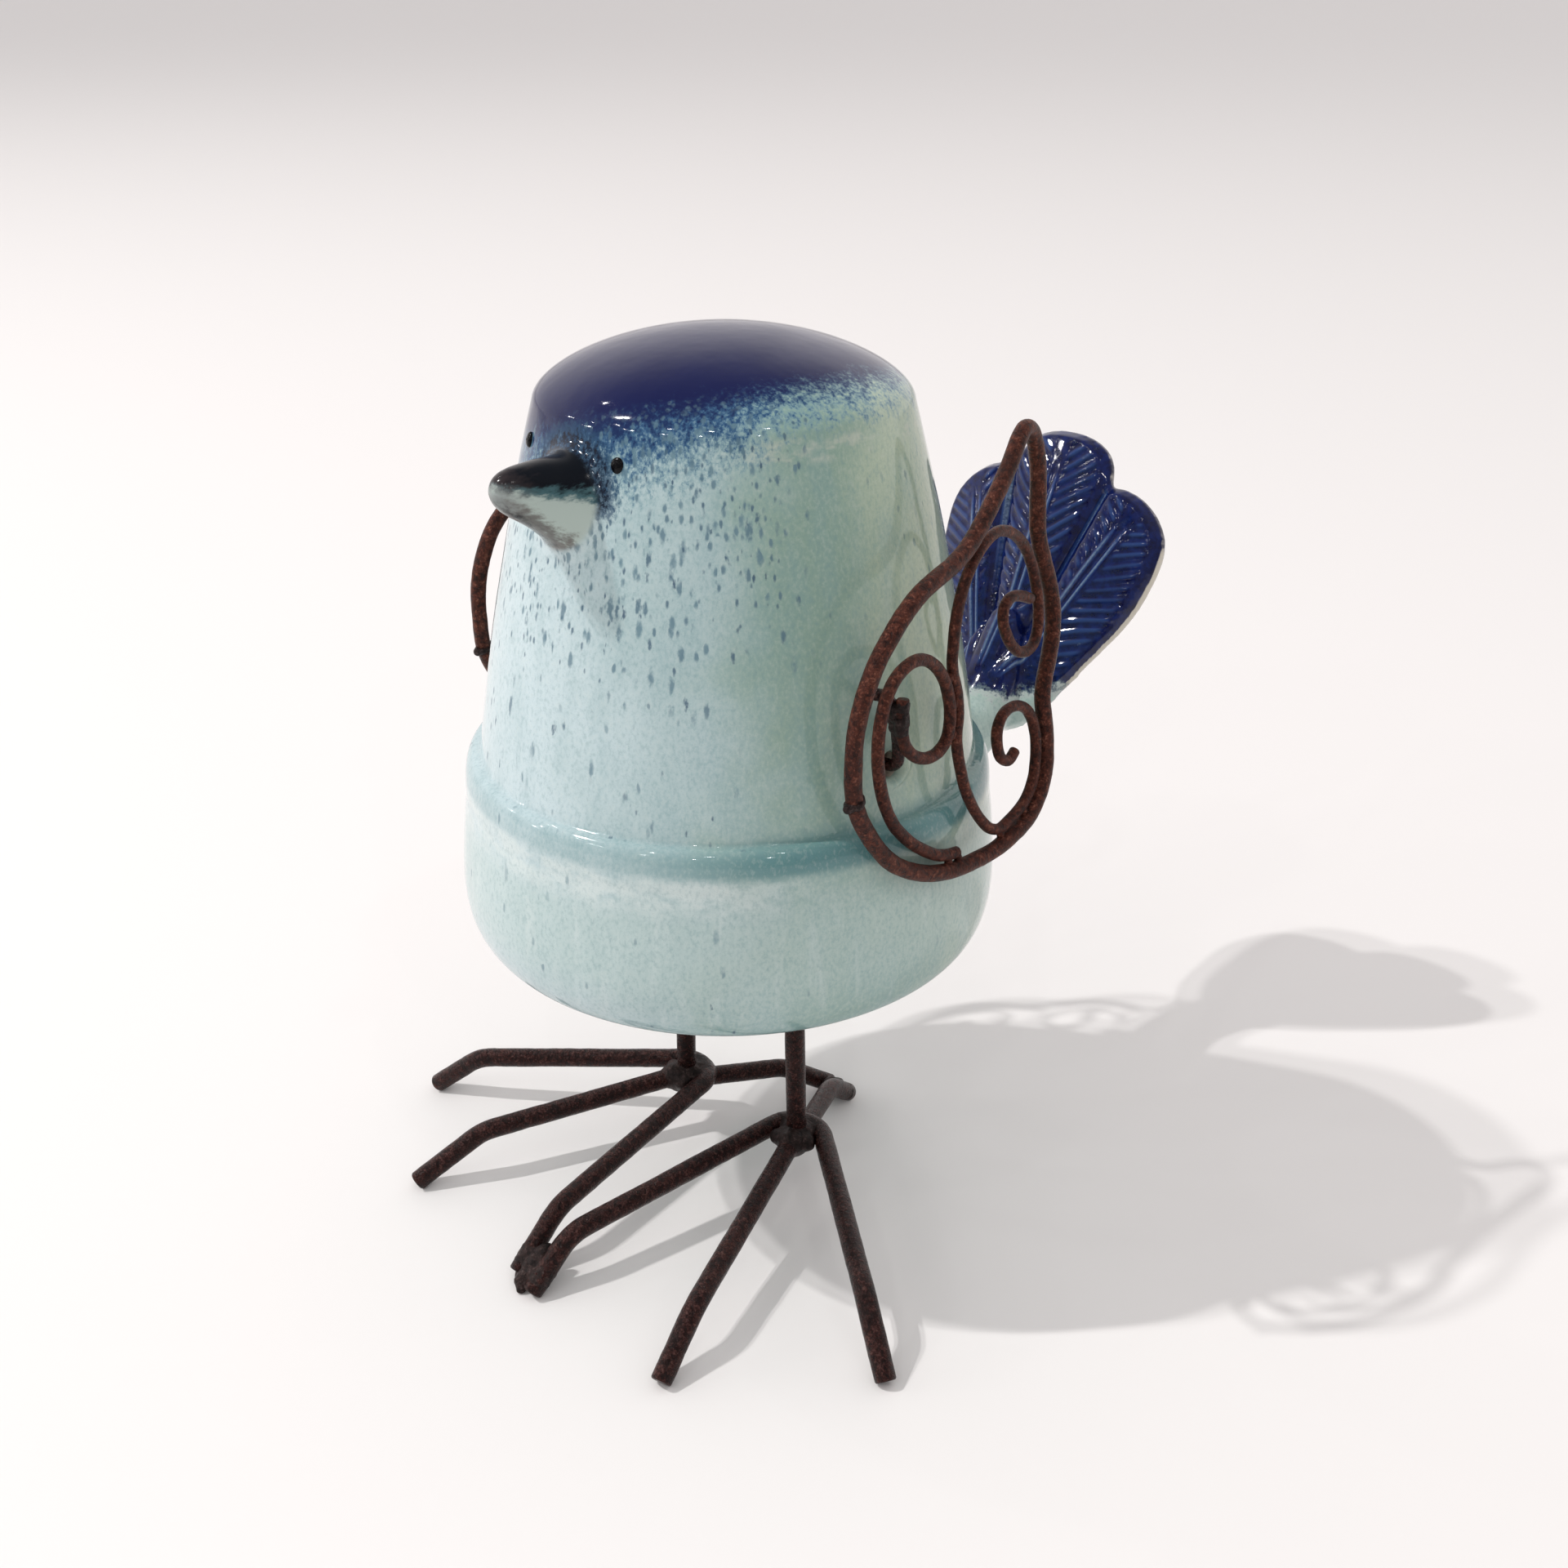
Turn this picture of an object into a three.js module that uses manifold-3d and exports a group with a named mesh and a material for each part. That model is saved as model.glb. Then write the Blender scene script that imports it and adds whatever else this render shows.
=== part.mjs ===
// Garden ornament: a glazed ceramic bird, made like a flower pot stood on its rim, on a
// welded stand of 6 mm steel rod, with two scrolled wire wings that plug into its sides.
// Millimetres, +Z up. The bird faces -Y, its left side is +X.
// Origin: on the ground, under the middle of the whole object.
import * as THREE from 'three';
import { mergeVertices } from 'three/addons/utils/BufferGeometryUtils.js';
import Module from 'manifold-3d';

const wasm = await Module();
wasm.setup();

// ---------------------------------------------------------------- driving dimensions
const BODY_AXIS_Y = -37.1;      // axis of the ceramic body, in front of the origin
const BODY_AXIS_X = -0.6;
const BODY_TOP = 257.6;         // crown height
const BODY_BOTTOM = 86.8;       // underside of the ceramic floor
const RIM_RADIUS = 75.0;        // widest radius of the rim band
const WALL = 6.0;               // ceramic wall
const FLOOR = 7.0;              // ceramic floor
const DRAIN_RADIUS = 14.0;      // drain and casting hole in the floor
const LEG_HOLE_RADIUS = 3.6;
const PEG_HOLE_RADIUS = 3.4;
const PEG_HOLE = [65.6, -6.7, 159.7];   // on the body surface, left side
const ROD = 3.0;                // radius of stand rod
const LOOP_WIRE = 2.2;          // radius of the wing's outer loop
const FRONT_WIRE = 1.6;         // radius of the front scroll
const REAR_WIRE = 1.5;          // radius of the rear scroll
const PEG_WIRE = 1.6;           // radius of the wing peg
const GAP = 0.3;                // clearance between neighbouring pieces
const TAIL_TILT = 64.7 * Math.PI / 180;  // tail fan above the horizontal
const TAIL_TIP = [0, 153.5, 204.8];      // tip of the middle feather, front face
const TAIL_THICK = 6.0;
const TAIL_BOW = 0.0036;        // the fan curves back by this times x squared
const LEG_TOP = 106.0;          // threaded end above the floor
const NUT_FLATS = 10.0, NUT_HEIGHT = 5.0, WASHER_RADIUS = 6.2, WASHER_HEIGHT = 1.6;

// Legs and feet, relative to the body axis. Toes: knuckle, then centre of the tip.
const FEET = {
  left: {
    top: [23.43, 2.30, 90], junction: [24.27, 3.77, 20.3],
    inner: [[5.87, -68.82, 14.7], [5.1, -81.85, 3.0]],
    middle: [[51.81, -63.78, 14.1], [55.82, -78.97, 3.0]],
    outer: [[83.38, -30.9, 17.6], [96.9, -37.7, 3.0]],
    back: [[6.97, 37.56, 11.8], [4.1, 48.2, 3.0]],
  },
  right: {
    top: [-24.39, 2.76, 90], junction: [-23.99, 3.21, 19.0],
    inner: [[-4.9, -64.95, 15.6], [-4.3, -79.3, 3.0]],
    middle: [[-49.78, -58.55, 15.1], [-57.82, -76.38, 3.0]],
    outer: [[-83.22, -34.92, 14.7], [-95.6, -42.4, 3.0]],
    back: [[-10.8, 33.6, 12.5], [-4.4, 47.6, 3.0]],
  },
};

// Wing wires as [y, z] of their centre lines; x follows from the wing surface below.
const WING_SURFACE = [72.99, -0.90, -4.00, -1.60, -7.10, 3.50];
const WING_LOOP = [
  [-28.3, 159.3], [-28.8, 164.0], [-28.9, 168.6], [-28.9, 173.3], [-28.4, 178.0], [-27.3, 182.5],
  [-25.7, 186.9], [-23.6, 191.1], [-20.9, 194.9], [-17.6, 198.2], [-14.1, 201.3], [-10.2, 204.0],
  [-6.0, 206.0], [-1.5, 207.3], [3.1, 208.2], [7.7, 209.0], [12.2, 210.3], [16.6, 212.1],
  [20.6, 214.5], [24.4, 217.2], [28.2, 220.0], [31.9, 222.9], [35.5, 225.8], [39.0, 228.9],
  [42.3, 232.3], [46.5, 234.3], [50.8, 232.8], [53.7, 229.2], [55.4, 224.8], [56.0, 220.2],
  [55.8, 215.5], [55.3, 210.9], [55.1, 206.2], [56.0, 201.6], [57.6, 197.2], [59.3, 192.8],
  [60.4, 188.2], [60.6, 183.6], [59.6, 179.0], [57.6, 174.8], [55.1, 170.8], [52.4, 167.0],
  [50.4, 162.8], [50.0, 158.1], [49.7, 153.4], [48.7, 148.8], [47.1, 144.5], [44.5, 140.6],
  [41.1, 137.3], [37.3, 134.6], [33.0, 132.9], [28.4, 131.7], [23.8, 130.7], [19.2, 130.2],
  [14.5, 130.1], [9.8, 130.1], [5.1, 130.4], [0.5, 131.2], [-4.0, 132.5], [-8.3, 134.4],
  [-12.3, 136.7], [-16.1, 139.6], [-19.2, 143.0], [-22.0, 146.8], [-24.4, 150.8], [-26.6, 154.9],
  [-28.3, 159.3],
];
const FRONT_SCROLL = [
  [7.7, 134.4], [3.8, 134.9], [0.1, 136.1], [-3.3, 138.1], [-6.5, 140.4], [-9.4, 142.9],
  [-12.1, 145.8], [-14.5, 148.9], [-16.4, 152.4], [-17.8, 156.0], [-18.9, 159.8], [-19.6, 163.6],
  [-20.0, 167.5], [-20.0, 171.4], [-19.7, 175.3], [-18.9, 179.1], [-17.6, 182.8], [-15.4, 186.0],
  [-12.2, 188.2], [-8.4, 189.2], [-4.5, 189.0], [-0.9, 187.6], [2.3, 185.3], [4.9, 182.5],
  [6.9, 179.1], [8.1, 175.4], [8.6, 171.5], [8.0, 167.7], [6.1, 164.3], [2.6, 162.5],
  [-1.2, 162.4], [-4.9, 163.7], [-8.0, 166.0], [-10.2, 169.3], [-11.1, 173.1], [-11.1, 177.0],
  [-10.8, 180.9],
];
const REAR_SCROLL = [
  [49.0, 189.4], [45.4, 191.0], [41.7, 192.2], [37.8, 192.5], [34.6, 190.6], [34.3, 186.8],
  [35.7, 183.2], [38.0, 180.0], [41.0, 177.6], [44.8, 176.6], [48.5, 177.4], [51.2, 180.2],
  [52.6, 183.8], [53.0, 187.7], [52.5, 191.6], [51.6, 195.4], [50.1, 199.0], [48.1, 202.3],
  [45.5, 205.2], [42.4, 207.6], [38.9, 209.5], [35.3, 210.9], [31.4, 211.6], [27.6, 211.3],
  [23.8, 210.2], [20.4, 208.3], [17.4, 205.8], [14.9, 202.8], [13.0, 199.4], [11.7, 195.7],
  [10.8, 191.9], [10.2, 188.0], [9.8, 184.1], [10.3, 180.3], [11.5, 176.6], [12.1, 172.7],
  [11.9, 168.8], [10.9, 165.0], [10.8, 161.2], [11.3, 157.3], [12.0, 153.4], [12.9, 149.6],
  [14.3, 146.0], [16.0, 142.5], [18.2, 139.2], [20.9, 136.4], [24.5, 135.1], [28.3, 135.9],
  [32.0, 137.0], [35.6, 138.5], [38.8, 140.8], [41.4, 143.7], [43.2, 147.2], [44.4, 150.9],
  [44.8, 154.8], [44.1, 158.6], [42.0, 161.9], [38.6, 163.8], [34.8, 164.4], [31.0, 163.5],
  [28.4, 160.7], [27.6, 156.9], [28.5, 153.1], [31.6, 151.2], [35.1, 152.9],
];

// Tail: half outline of the fan in its own plane, [across, along], tip of the fan at 0, 0.
const TAIL_HALF = [
  [0, 0], [7, -0.5], [13, -2.6], [17.3, -7.0], [18.9, -13.6], [20.9, -14.4], [27.1, -14.5],
  [32.7, -16.9], [37.9, -21.2], [41.0, -26.7], [41.8, -31.2], [41.6, -37.1], [40.6, -44.3],
  [38.1, -53.1], [33.9, -62.1], [29.5, -70.7], [23.6, -81.3], [16.5, -91.0], [9.0, -98.0],
];

// ---------------------------------------------------------------- helpers
const V = (a) => new THREE.Vector3(a[0], a[1], a[2]);

// Closed mesh of a geometry as a manifold, whichever way its faces were wound.
function solid(geometry) {
  const g = geometry.clone();
  g.deleteAttribute('normal');
  g.deleteAttribute('uv');
  const m = mergeVertices(g, 1e-3);
  const pos = m.attributes.position.array;
  const src = m.index.array;
  const tri = [];
  let volume = 0;
  for (let i = 0; i < src.length; i += 3) {
    const [a, b, c] = [src[i], src[i + 1], src[i + 2]];
    if (a === b || b === c || c === a) continue;
    tri.push(a, b, c);
    const A = new THREE.Vector3().fromArray(pos, 3 * a);
    const B = new THREE.Vector3().fromArray(pos, 3 * b);
    const C = new THREE.Vector3().fromArray(pos, 3 * c);
    volume += A.dot(B.cross(C));
  }
  if (volume < 0) for (let i = 0; i < tri.length; i += 3) [tri[i], tri[i + 1]] = [tri[i + 1], tri[i]];
  return new wasm.Manifold(new wasm.Mesh({
    numProp: 3, vertProperties: new Float32Array(pos), triVerts: new Uint32Array(tri),
  }));
}

// Largest piece of a cut.
function largest(manifold) {
  const pieces = manifold.decompose();
  return pieces.reduce((a, b) => (b.volume() > a.volume() ? b : a));
}

function geometryOf(manifold) {
  const mesh = manifold.getMesh();
  const g = new THREE.BufferGeometry();
  const np = mesh.numProp;
  const v = new Float32Array(mesh.vertProperties.length / np * 3);
  for (let i = 0; i < v.length / 3; i++) for (let k = 0; k < 3; k++) v[3 * i + k] = mesh.vertProperties[i * np + k];
  g.setAttribute('position', new THREE.BufferAttribute(v, 3));
  g.setIndex(new THREE.BufferAttribute(new Uint32Array(mesh.triVerts), 1));
  g.computeVertexNormals();
  return g;
}

function circle(radius, sides) {
  const s = new THREE.Shape();
  for (let i = 0; i <= sides; i++) {
    const a = 2 * Math.PI * (i + 0.5) / sides;
    const p = [radius * Math.cos(a), radius * Math.sin(a)];
    if (i === 0) s.moveTo(p[0], p[1]); else if (i < sides) s.lineTo(p[0], p[1]);
  }
  s.closePath();
  return s;
}

// Round wire along a smooth curve through points.
function wire(points, radius, sides, steps) {
  const path = new THREE.CatmullRomCurve3(points.map(V), false, 'centripetal');
  path.arcLengthDivisions = 1200;
  return new THREE.ExtrudeGeometry(circle(radius, sides), { steps, bevelEnabled: false, extrudePath: path });
}

// Polyline whose inside corners are rounded, as a bent rod is.
function bent(points, radius, cornerSteps = 5) {
  const out = [points[0]];
  for (let i = 1; i < points.length - 1; i++) {
    const p = V(points[i]);
    const a = V(points[i - 1]).sub(p), b = V(points[i + 1]).sub(p);
    const half = a.angleTo(b) / 2;
    const cut = Math.min(radius / Math.tan(half), a.length() * 0.45, b.length() * 0.45);
    const s = p.clone().addScaledVector(a.normalize(), cut);
    const e = p.clone().addScaledVector(b.normalize(), cut);
    const curve = new THREE.QuadraticBezierCurve3(s, p, e);
    for (let k = 0; k <= cornerSteps; k++) out.push(curve.getPoint(k / cornerSteps).toArray());
  }
  out.push(points[points.length - 1]);
  return out;
}

// Straight-sided wire through points, keeping each given point as a section.
function rod(points, radius, sides) {
  const path = new THREE.CurvePath();
  for (let i = 0; i < points.length - 1; i++) path.add(new THREE.LineCurve3(V(points[i]), V(points[i + 1])));
  const lengths = [0];
  for (let i = 1; i < points.length; i++) lengths.push(lengths[i - 1] + V(points[i]).distanceTo(V(points[i - 1])));
  // A lathe of n rings is laid along the points with one frame carried from ring to ring.
  const rings = points.map((p, i) => [radius, i]);
  const g = new THREE.LatheGeometry([[0, 0], ...rings, [0, points.length - 1]].map((q) => new THREE.Vector2(q[0], q[1])), sides);
  const tangents = points.map((p, i) => {
    const a = V(points[Math.max(i - 1, 0)]), b = V(points[i]), c = V(points[Math.min(i + 1, points.length - 1)]);
    const t = new THREE.Vector3();
    if (i > 0) t.add(b.clone().sub(a).normalize());
    if (i < points.length - 1) t.add(c.clone().sub(b).normalize());
    return t.normalize();
  });
  const normals = [];
  let n = new THREE.Vector3(0, 0, 1);
  if (Math.abs(tangents[0].z) > 0.9) n.set(1, 0, 0);
  for (const t of tangents) {
    n = n.clone().addScaledVector(t, -n.dot(t)).normalize();
    normals.push(n);
  }
  const pos = g.attributes.position;
  for (let i = 0; i < pos.count; i++) {
    const k = Math.round(pos.getY(i));
    const b = new THREE.Vector3().crossVectors(tangents[k], normals[k]);
    const p = V(points[k]).addScaledVector(normals[k], pos.getX(i)).addScaledVector(b, pos.getZ(i));
    pos.setXYZ(i, p.x, p.y, p.z);
  }
  return g;
}

// Lathe with its axis bent along a curve in the Y-Z plane: profile is [radius, 0..1 along].
function bentLathe(path, profile, sides, widthScale = 1) {
  const g = new THREE.LatheGeometry(profile.map((q) => new THREE.Vector2(q[0], q[1])), sides);
  const pos = g.attributes.position;
  for (let i = 0; i < pos.count; i++) {
    const t = Math.min(Math.max(pos.getY(i), 0), 1);
    const tangent = path.getTangentAt(t);
    const across = new THREE.Vector3(1, 0, 0);
    const up = new THREE.Vector3().crossVectors(tangent, across).normalize();
    const p = path.getPointAt(t).addScaledVector(across, pos.getX(i) * widthScale).addScaledVector(up, pos.getZ(i));
    pos.setXYZ(i, p.x, p.y, p.z);
  }
  return g;
}

function revolve(profile, sides) {
  const g = new THREE.LatheGeometry(profile.map((q) => new THREE.Vector2(q[0], q[1])), sides);
  g.rotateX(Math.PI / 2);
  return g;
}

function blob(centre, sx, sy, sz) {
  const g = new THREE.SphereGeometry(1, 12, 8);
  g.scale(sx, sy, sz);
  g.translate(centre[0], centre[1], centre[2]);
  return solid(g);
}

function cylinder(radius, height, sides) {
  const g = new THREE.CylinderGeometry(radius, radius, height, sides);
  g.rotateX(Math.PI / 2);
  return g;
}

const materials = {
  glaze: { color: 0x9dbfc0, roughness: 0.12, metalness: 0.0 },
  beak: { color: 0x3a4658, roughness: 0.15, metalness: 0.0 },
  cobalt: { color: 0x142c72, roughness: 0.1, metalness: 0.0 },
  rod: { color: 0x3a2c2a, roughness: 0.62, metalness: 0.7 },
  wing: { color: 0x5a3b33, roughness: 0.6, metalness: 0.7 },
  weld: { color: 0x332826, roughness: 0.7, metalness: 0.7 },
  fixing: { color: 0x8a8a86, roughness: 0.4, metalness: 0.9 },
  rubber: { color: 0x1c1c1c, roughness: 0.9, metalness: 0.0 },
};

function mesh(name, source, finish) {
  const geometry = source instanceof THREE.BufferGeometry ? geometryOf(solid(source)) : geometryOf(source);
  const m = new THREE.Mesh(geometry, new THREE.MeshStandardMaterial(materials[finish]));
  m.name = name;
  return m;
}

// ---------------------------------------------------------------- ceramic body
const cubic = (a, b, c, d, n) => new THREE.CubicBezierCurve(...[a, b, c, d].map((p) => new THREE.Vector2(...p))).getPoints(n);
const quad = (a, b, c, n) => new THREE.QuadraticBezierCurve(...[a, b, c].map((p) => new THREE.Vector2(...p))).getPoints(n);

// Outer outline, from the crown down to the floor, as [radius, height].
const crown = [48.57, 240.56], waist = [68.06, 145.44], shoulder = [72.75, 134.34];
const slope = new THREE.Vector2(waist[0] - crown[0], waist[1] - crown[1]).normalize();
const outer = [
  ...cubic([0, BODY_TOP], [25.7, BODY_TOP], [crown[0] - 7.39 * slope.x, crown[1] - 7.39 * slope.y], crown, 7),
  ...quad(crown, [(crown[0] + waist[0]) / 2 + 3.2, (crown[1] + waist[1]) / 2], waist, 4).slice(1),
  ...quad(waist, [72.75, 146.82], shoulder, 4).slice(1),
  ...cubic(shoulder, [77.55, 96.5], [77.55, 88.03], [46.66, BODY_BOTTOM + 0.03], 8).slice(1),
].map((p) => [p.x, p.y]);
outer[0][0] = 0;
outer[outer.length - 1][1] = BODY_BOTTOM;

// Inner outline, one wall thickness inside.
const inner = [
  [0, BODY_TOP - 7.5], [14, BODY_TOP - 8.4], [25, BODY_TOP - 11], [33.5, BODY_TOP - 15.5], [41, BODY_TOP - 22.5],
  [54.5, 190], [61.6, 148], [64.6, 141], [66.2, 133], [68.2, 110], [66.5, 101.5], [60, 96.2], [50, BODY_BOTTOM + FLOOR],
];
const shellProfile = [
  ...outer, [DRAIN_RADIUS, BODY_BOTTOM], [DRAIN_RADIUS, BODY_BOTTOM + FLOOR], ...inner.slice().reverse(),
];
const bodySides = 40;
let shell = solid(revolve(shellProfile, bodySides));
for (const side of ['left', 'right']) {
  const f = FEET[side];
  const k = (BODY_BOTTOM - f.junction[2]) / (f.top[2] - f.junction[2]);
  const hole = cylinder(LEG_HOLE_RADIUS, 24, 12);
  hole.translate(f.junction[0] + k * (f.top[0] - f.junction[0]), f.junction[1] + k * (f.top[1] - f.junction[1]), BODY_BOTTOM + 4);
  shell = shell.subtract(solid(hole));
  const sign = side === 'left' ? 1 : -1;
  const socket = new THREE.CylinderGeometry(PEG_HOLE_RADIUS, PEG_HOLE_RADIUS, 24, 12);
  socket.rotateZ(Math.PI / 2);
  socket.translate(sign * (PEG_HOLE[0] - 2), PEG_HOLE[1], PEG_HOLE[2]);
  shell = shell.subtract(solid(socket));
}

// Envelope of the body, grown by the gap, that the luted-on pieces are cut with.
const envelope = solid(revolve([[0, BODY_TOP + GAP], ...outer.slice(1, -1).map((p) => [p[0] + 0.45, p[1]]),
  [outer[outer.length - 1][0], BODY_BOTTOM - GAP], [0, BODY_BOTTOM - GAP]], bodySides));

// Beak: short blunt cone, tilted up a little.
const beakPath = new THREE.LineCurve3(new THREE.Vector3(0, -40, 219.5), new THREE.Vector3(0, -74.1, 230.4));
const beakProfile = [[0, 0], [12.6, 0.001], [12.2, 0.31], [9.8, 0.48], [7.6, 0.64], [6.1, 0.78], [4.9, 0.89], [3.4, 0.955], [1.8, 0.987], [0, 1]];
const beak = largest(solid(bentLathe(beakPath, beakProfile, 16, 1.0)).subtract(envelope));

// Tail: curved plate cut to the outline of three feathers, on a round neck.
const along = new THREE.Vector3(0, Math.cos(TAIL_TILT), Math.sin(TAIL_TILT));
const front = new THREE.Vector3(0, -Math.sin(TAIL_TILT), Math.cos(TAIL_TILT));
const toTail = new THREE.Matrix4().makeBasis(new THREE.Vector3(1, 0, 0), along, front).setPosition(V(TAIL_TIP));
const slabShape = new THREE.Shape();
const bow = (x) => -TAIL_BOW * x * x;
for (let i = 0; i <= 12; i++) {
  const x = -48 + 8 * i;
  if (i === 0) slabShape.moveTo(x, bow(x)); else slabShape.lineTo(x, bow(x));
}
for (let i = 12; i >= 0; i--) slabShape.lineTo(-48 + 8 * i, bow(-48 + 8 * i) - TAIL_THICK);
slabShape.closePath();
const slab = new THREE.ExtrudeGeometry(slabShape, { depth: 110, bevelEnabled: false });
slab.rotateX(Math.PI / 2);          // extrusion runs along -along, section height along front

slab.translate(0, 5, 0);
const outline = new THREE.Shape();
TAIL_HALF.forEach((p, i) => (i === 0 ? outline.moveTo(p[0], p[1]) : outline.lineTo(p[0], p[1])));
TAIL_HALF.slice(1).reverse().forEach((p) => outline.lineTo(-p[0], p[1]));
outline.closePath();
const cookie = new THREE.ExtrudeGeometry(outline, { depth: 40, bevelEnabled: false });
cookie.translate(0, 0, -30);
slab.applyMatrix4(toTail);
cookie.applyMatrix4(toTail);
const neckPath = new THREE.CatmullRomCurve3([[0, 58, 128], [0, 76, 119.5], [0, 92, 114.5], [0, 106, 116], [0, 115.5, 127], [0, 120.5, 139]].map(V), false, 'centripetal');
const neckProfile = [[0, 0], [17, 0.001], [16, 0.2], [13.5, 0.4], [12.4, 0.55], [11, 0.7], [8.4, 0.84], [5.5, 0.94], [3, 0.985], [0, 1]];
const tail = largest(solid(slab).intersect(solid(cookie)).add(solid(bentLathe(neckPath, neckProfile, 16))).subtract(envelope));

// ---------------------------------------------------------------- stand
// Inner and outer toe are one rod bent round the back of the leg. The bend is wider than the
// leg, so its centre lies a little in front of it.
const BEND = 9.4;
function bowPath(f, clearance) {
  const ahead = V([f.middle[0][0] - f.junction[0], f.middle[0][1] - f.junction[1], 0]).setLength(BEND - clearance);
  const J = [f.junction[0] + ahead.x, f.junction[1] + ahead.y, f.junction[2]];
  const sign = f.inner[0][0] > 0 ? 1 : -1;          // +1 on the left foot
  const tangentAngle = (P, turn) => {
    const dx = P[0] - J[0], dy = P[1] - J[1];
    const dist = Math.hypot(dx, dy);
    return Math.atan2(dy, dx) + turn * Math.acos(BEND / dist);
  };
  // angles, round the bend's centre, of the points where the two straight toes touch the bend
  let a0 = tangentAngle(f.inner[0], -sign), a1 = tangentAngle(f.outer[0], sign);
  while (sign > 0 && a0 < a1) a0 += 2 * Math.PI;
  while (sign > 0 && a0 - a1 > 2 * Math.PI) a0 -= 2 * Math.PI;
  while (sign < 0 && a1 < a0) a1 += 2 * Math.PI;
  while (sign < 0 && a1 - a0 > 2 * Math.PI) a1 -= 2 * Math.PI;
  const arc = [];
  const n = 6;
  for (let i = 0; i <= n; i++) {
    const a = a0 + (a1 - a0) * i / n;
    arc.push([J[0] + BEND * Math.cos(a), J[1] + BEND * Math.sin(a), J[2]]);
  }
  return arc;
}

const ground = new THREE.BoxGeometry(400, 400, 20);
ground.translate(0, 0, -10);
const groundSolid = solid(ground);

// The tip of a toe runs on a little and is cut flat where it stands.
function tipped(knuckle, tip) {
  const k = V(knuckle), t = V(tip);
  return t.addScaledVector(t.clone().sub(k).normalize(), 2.0).toArray();
}

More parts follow.
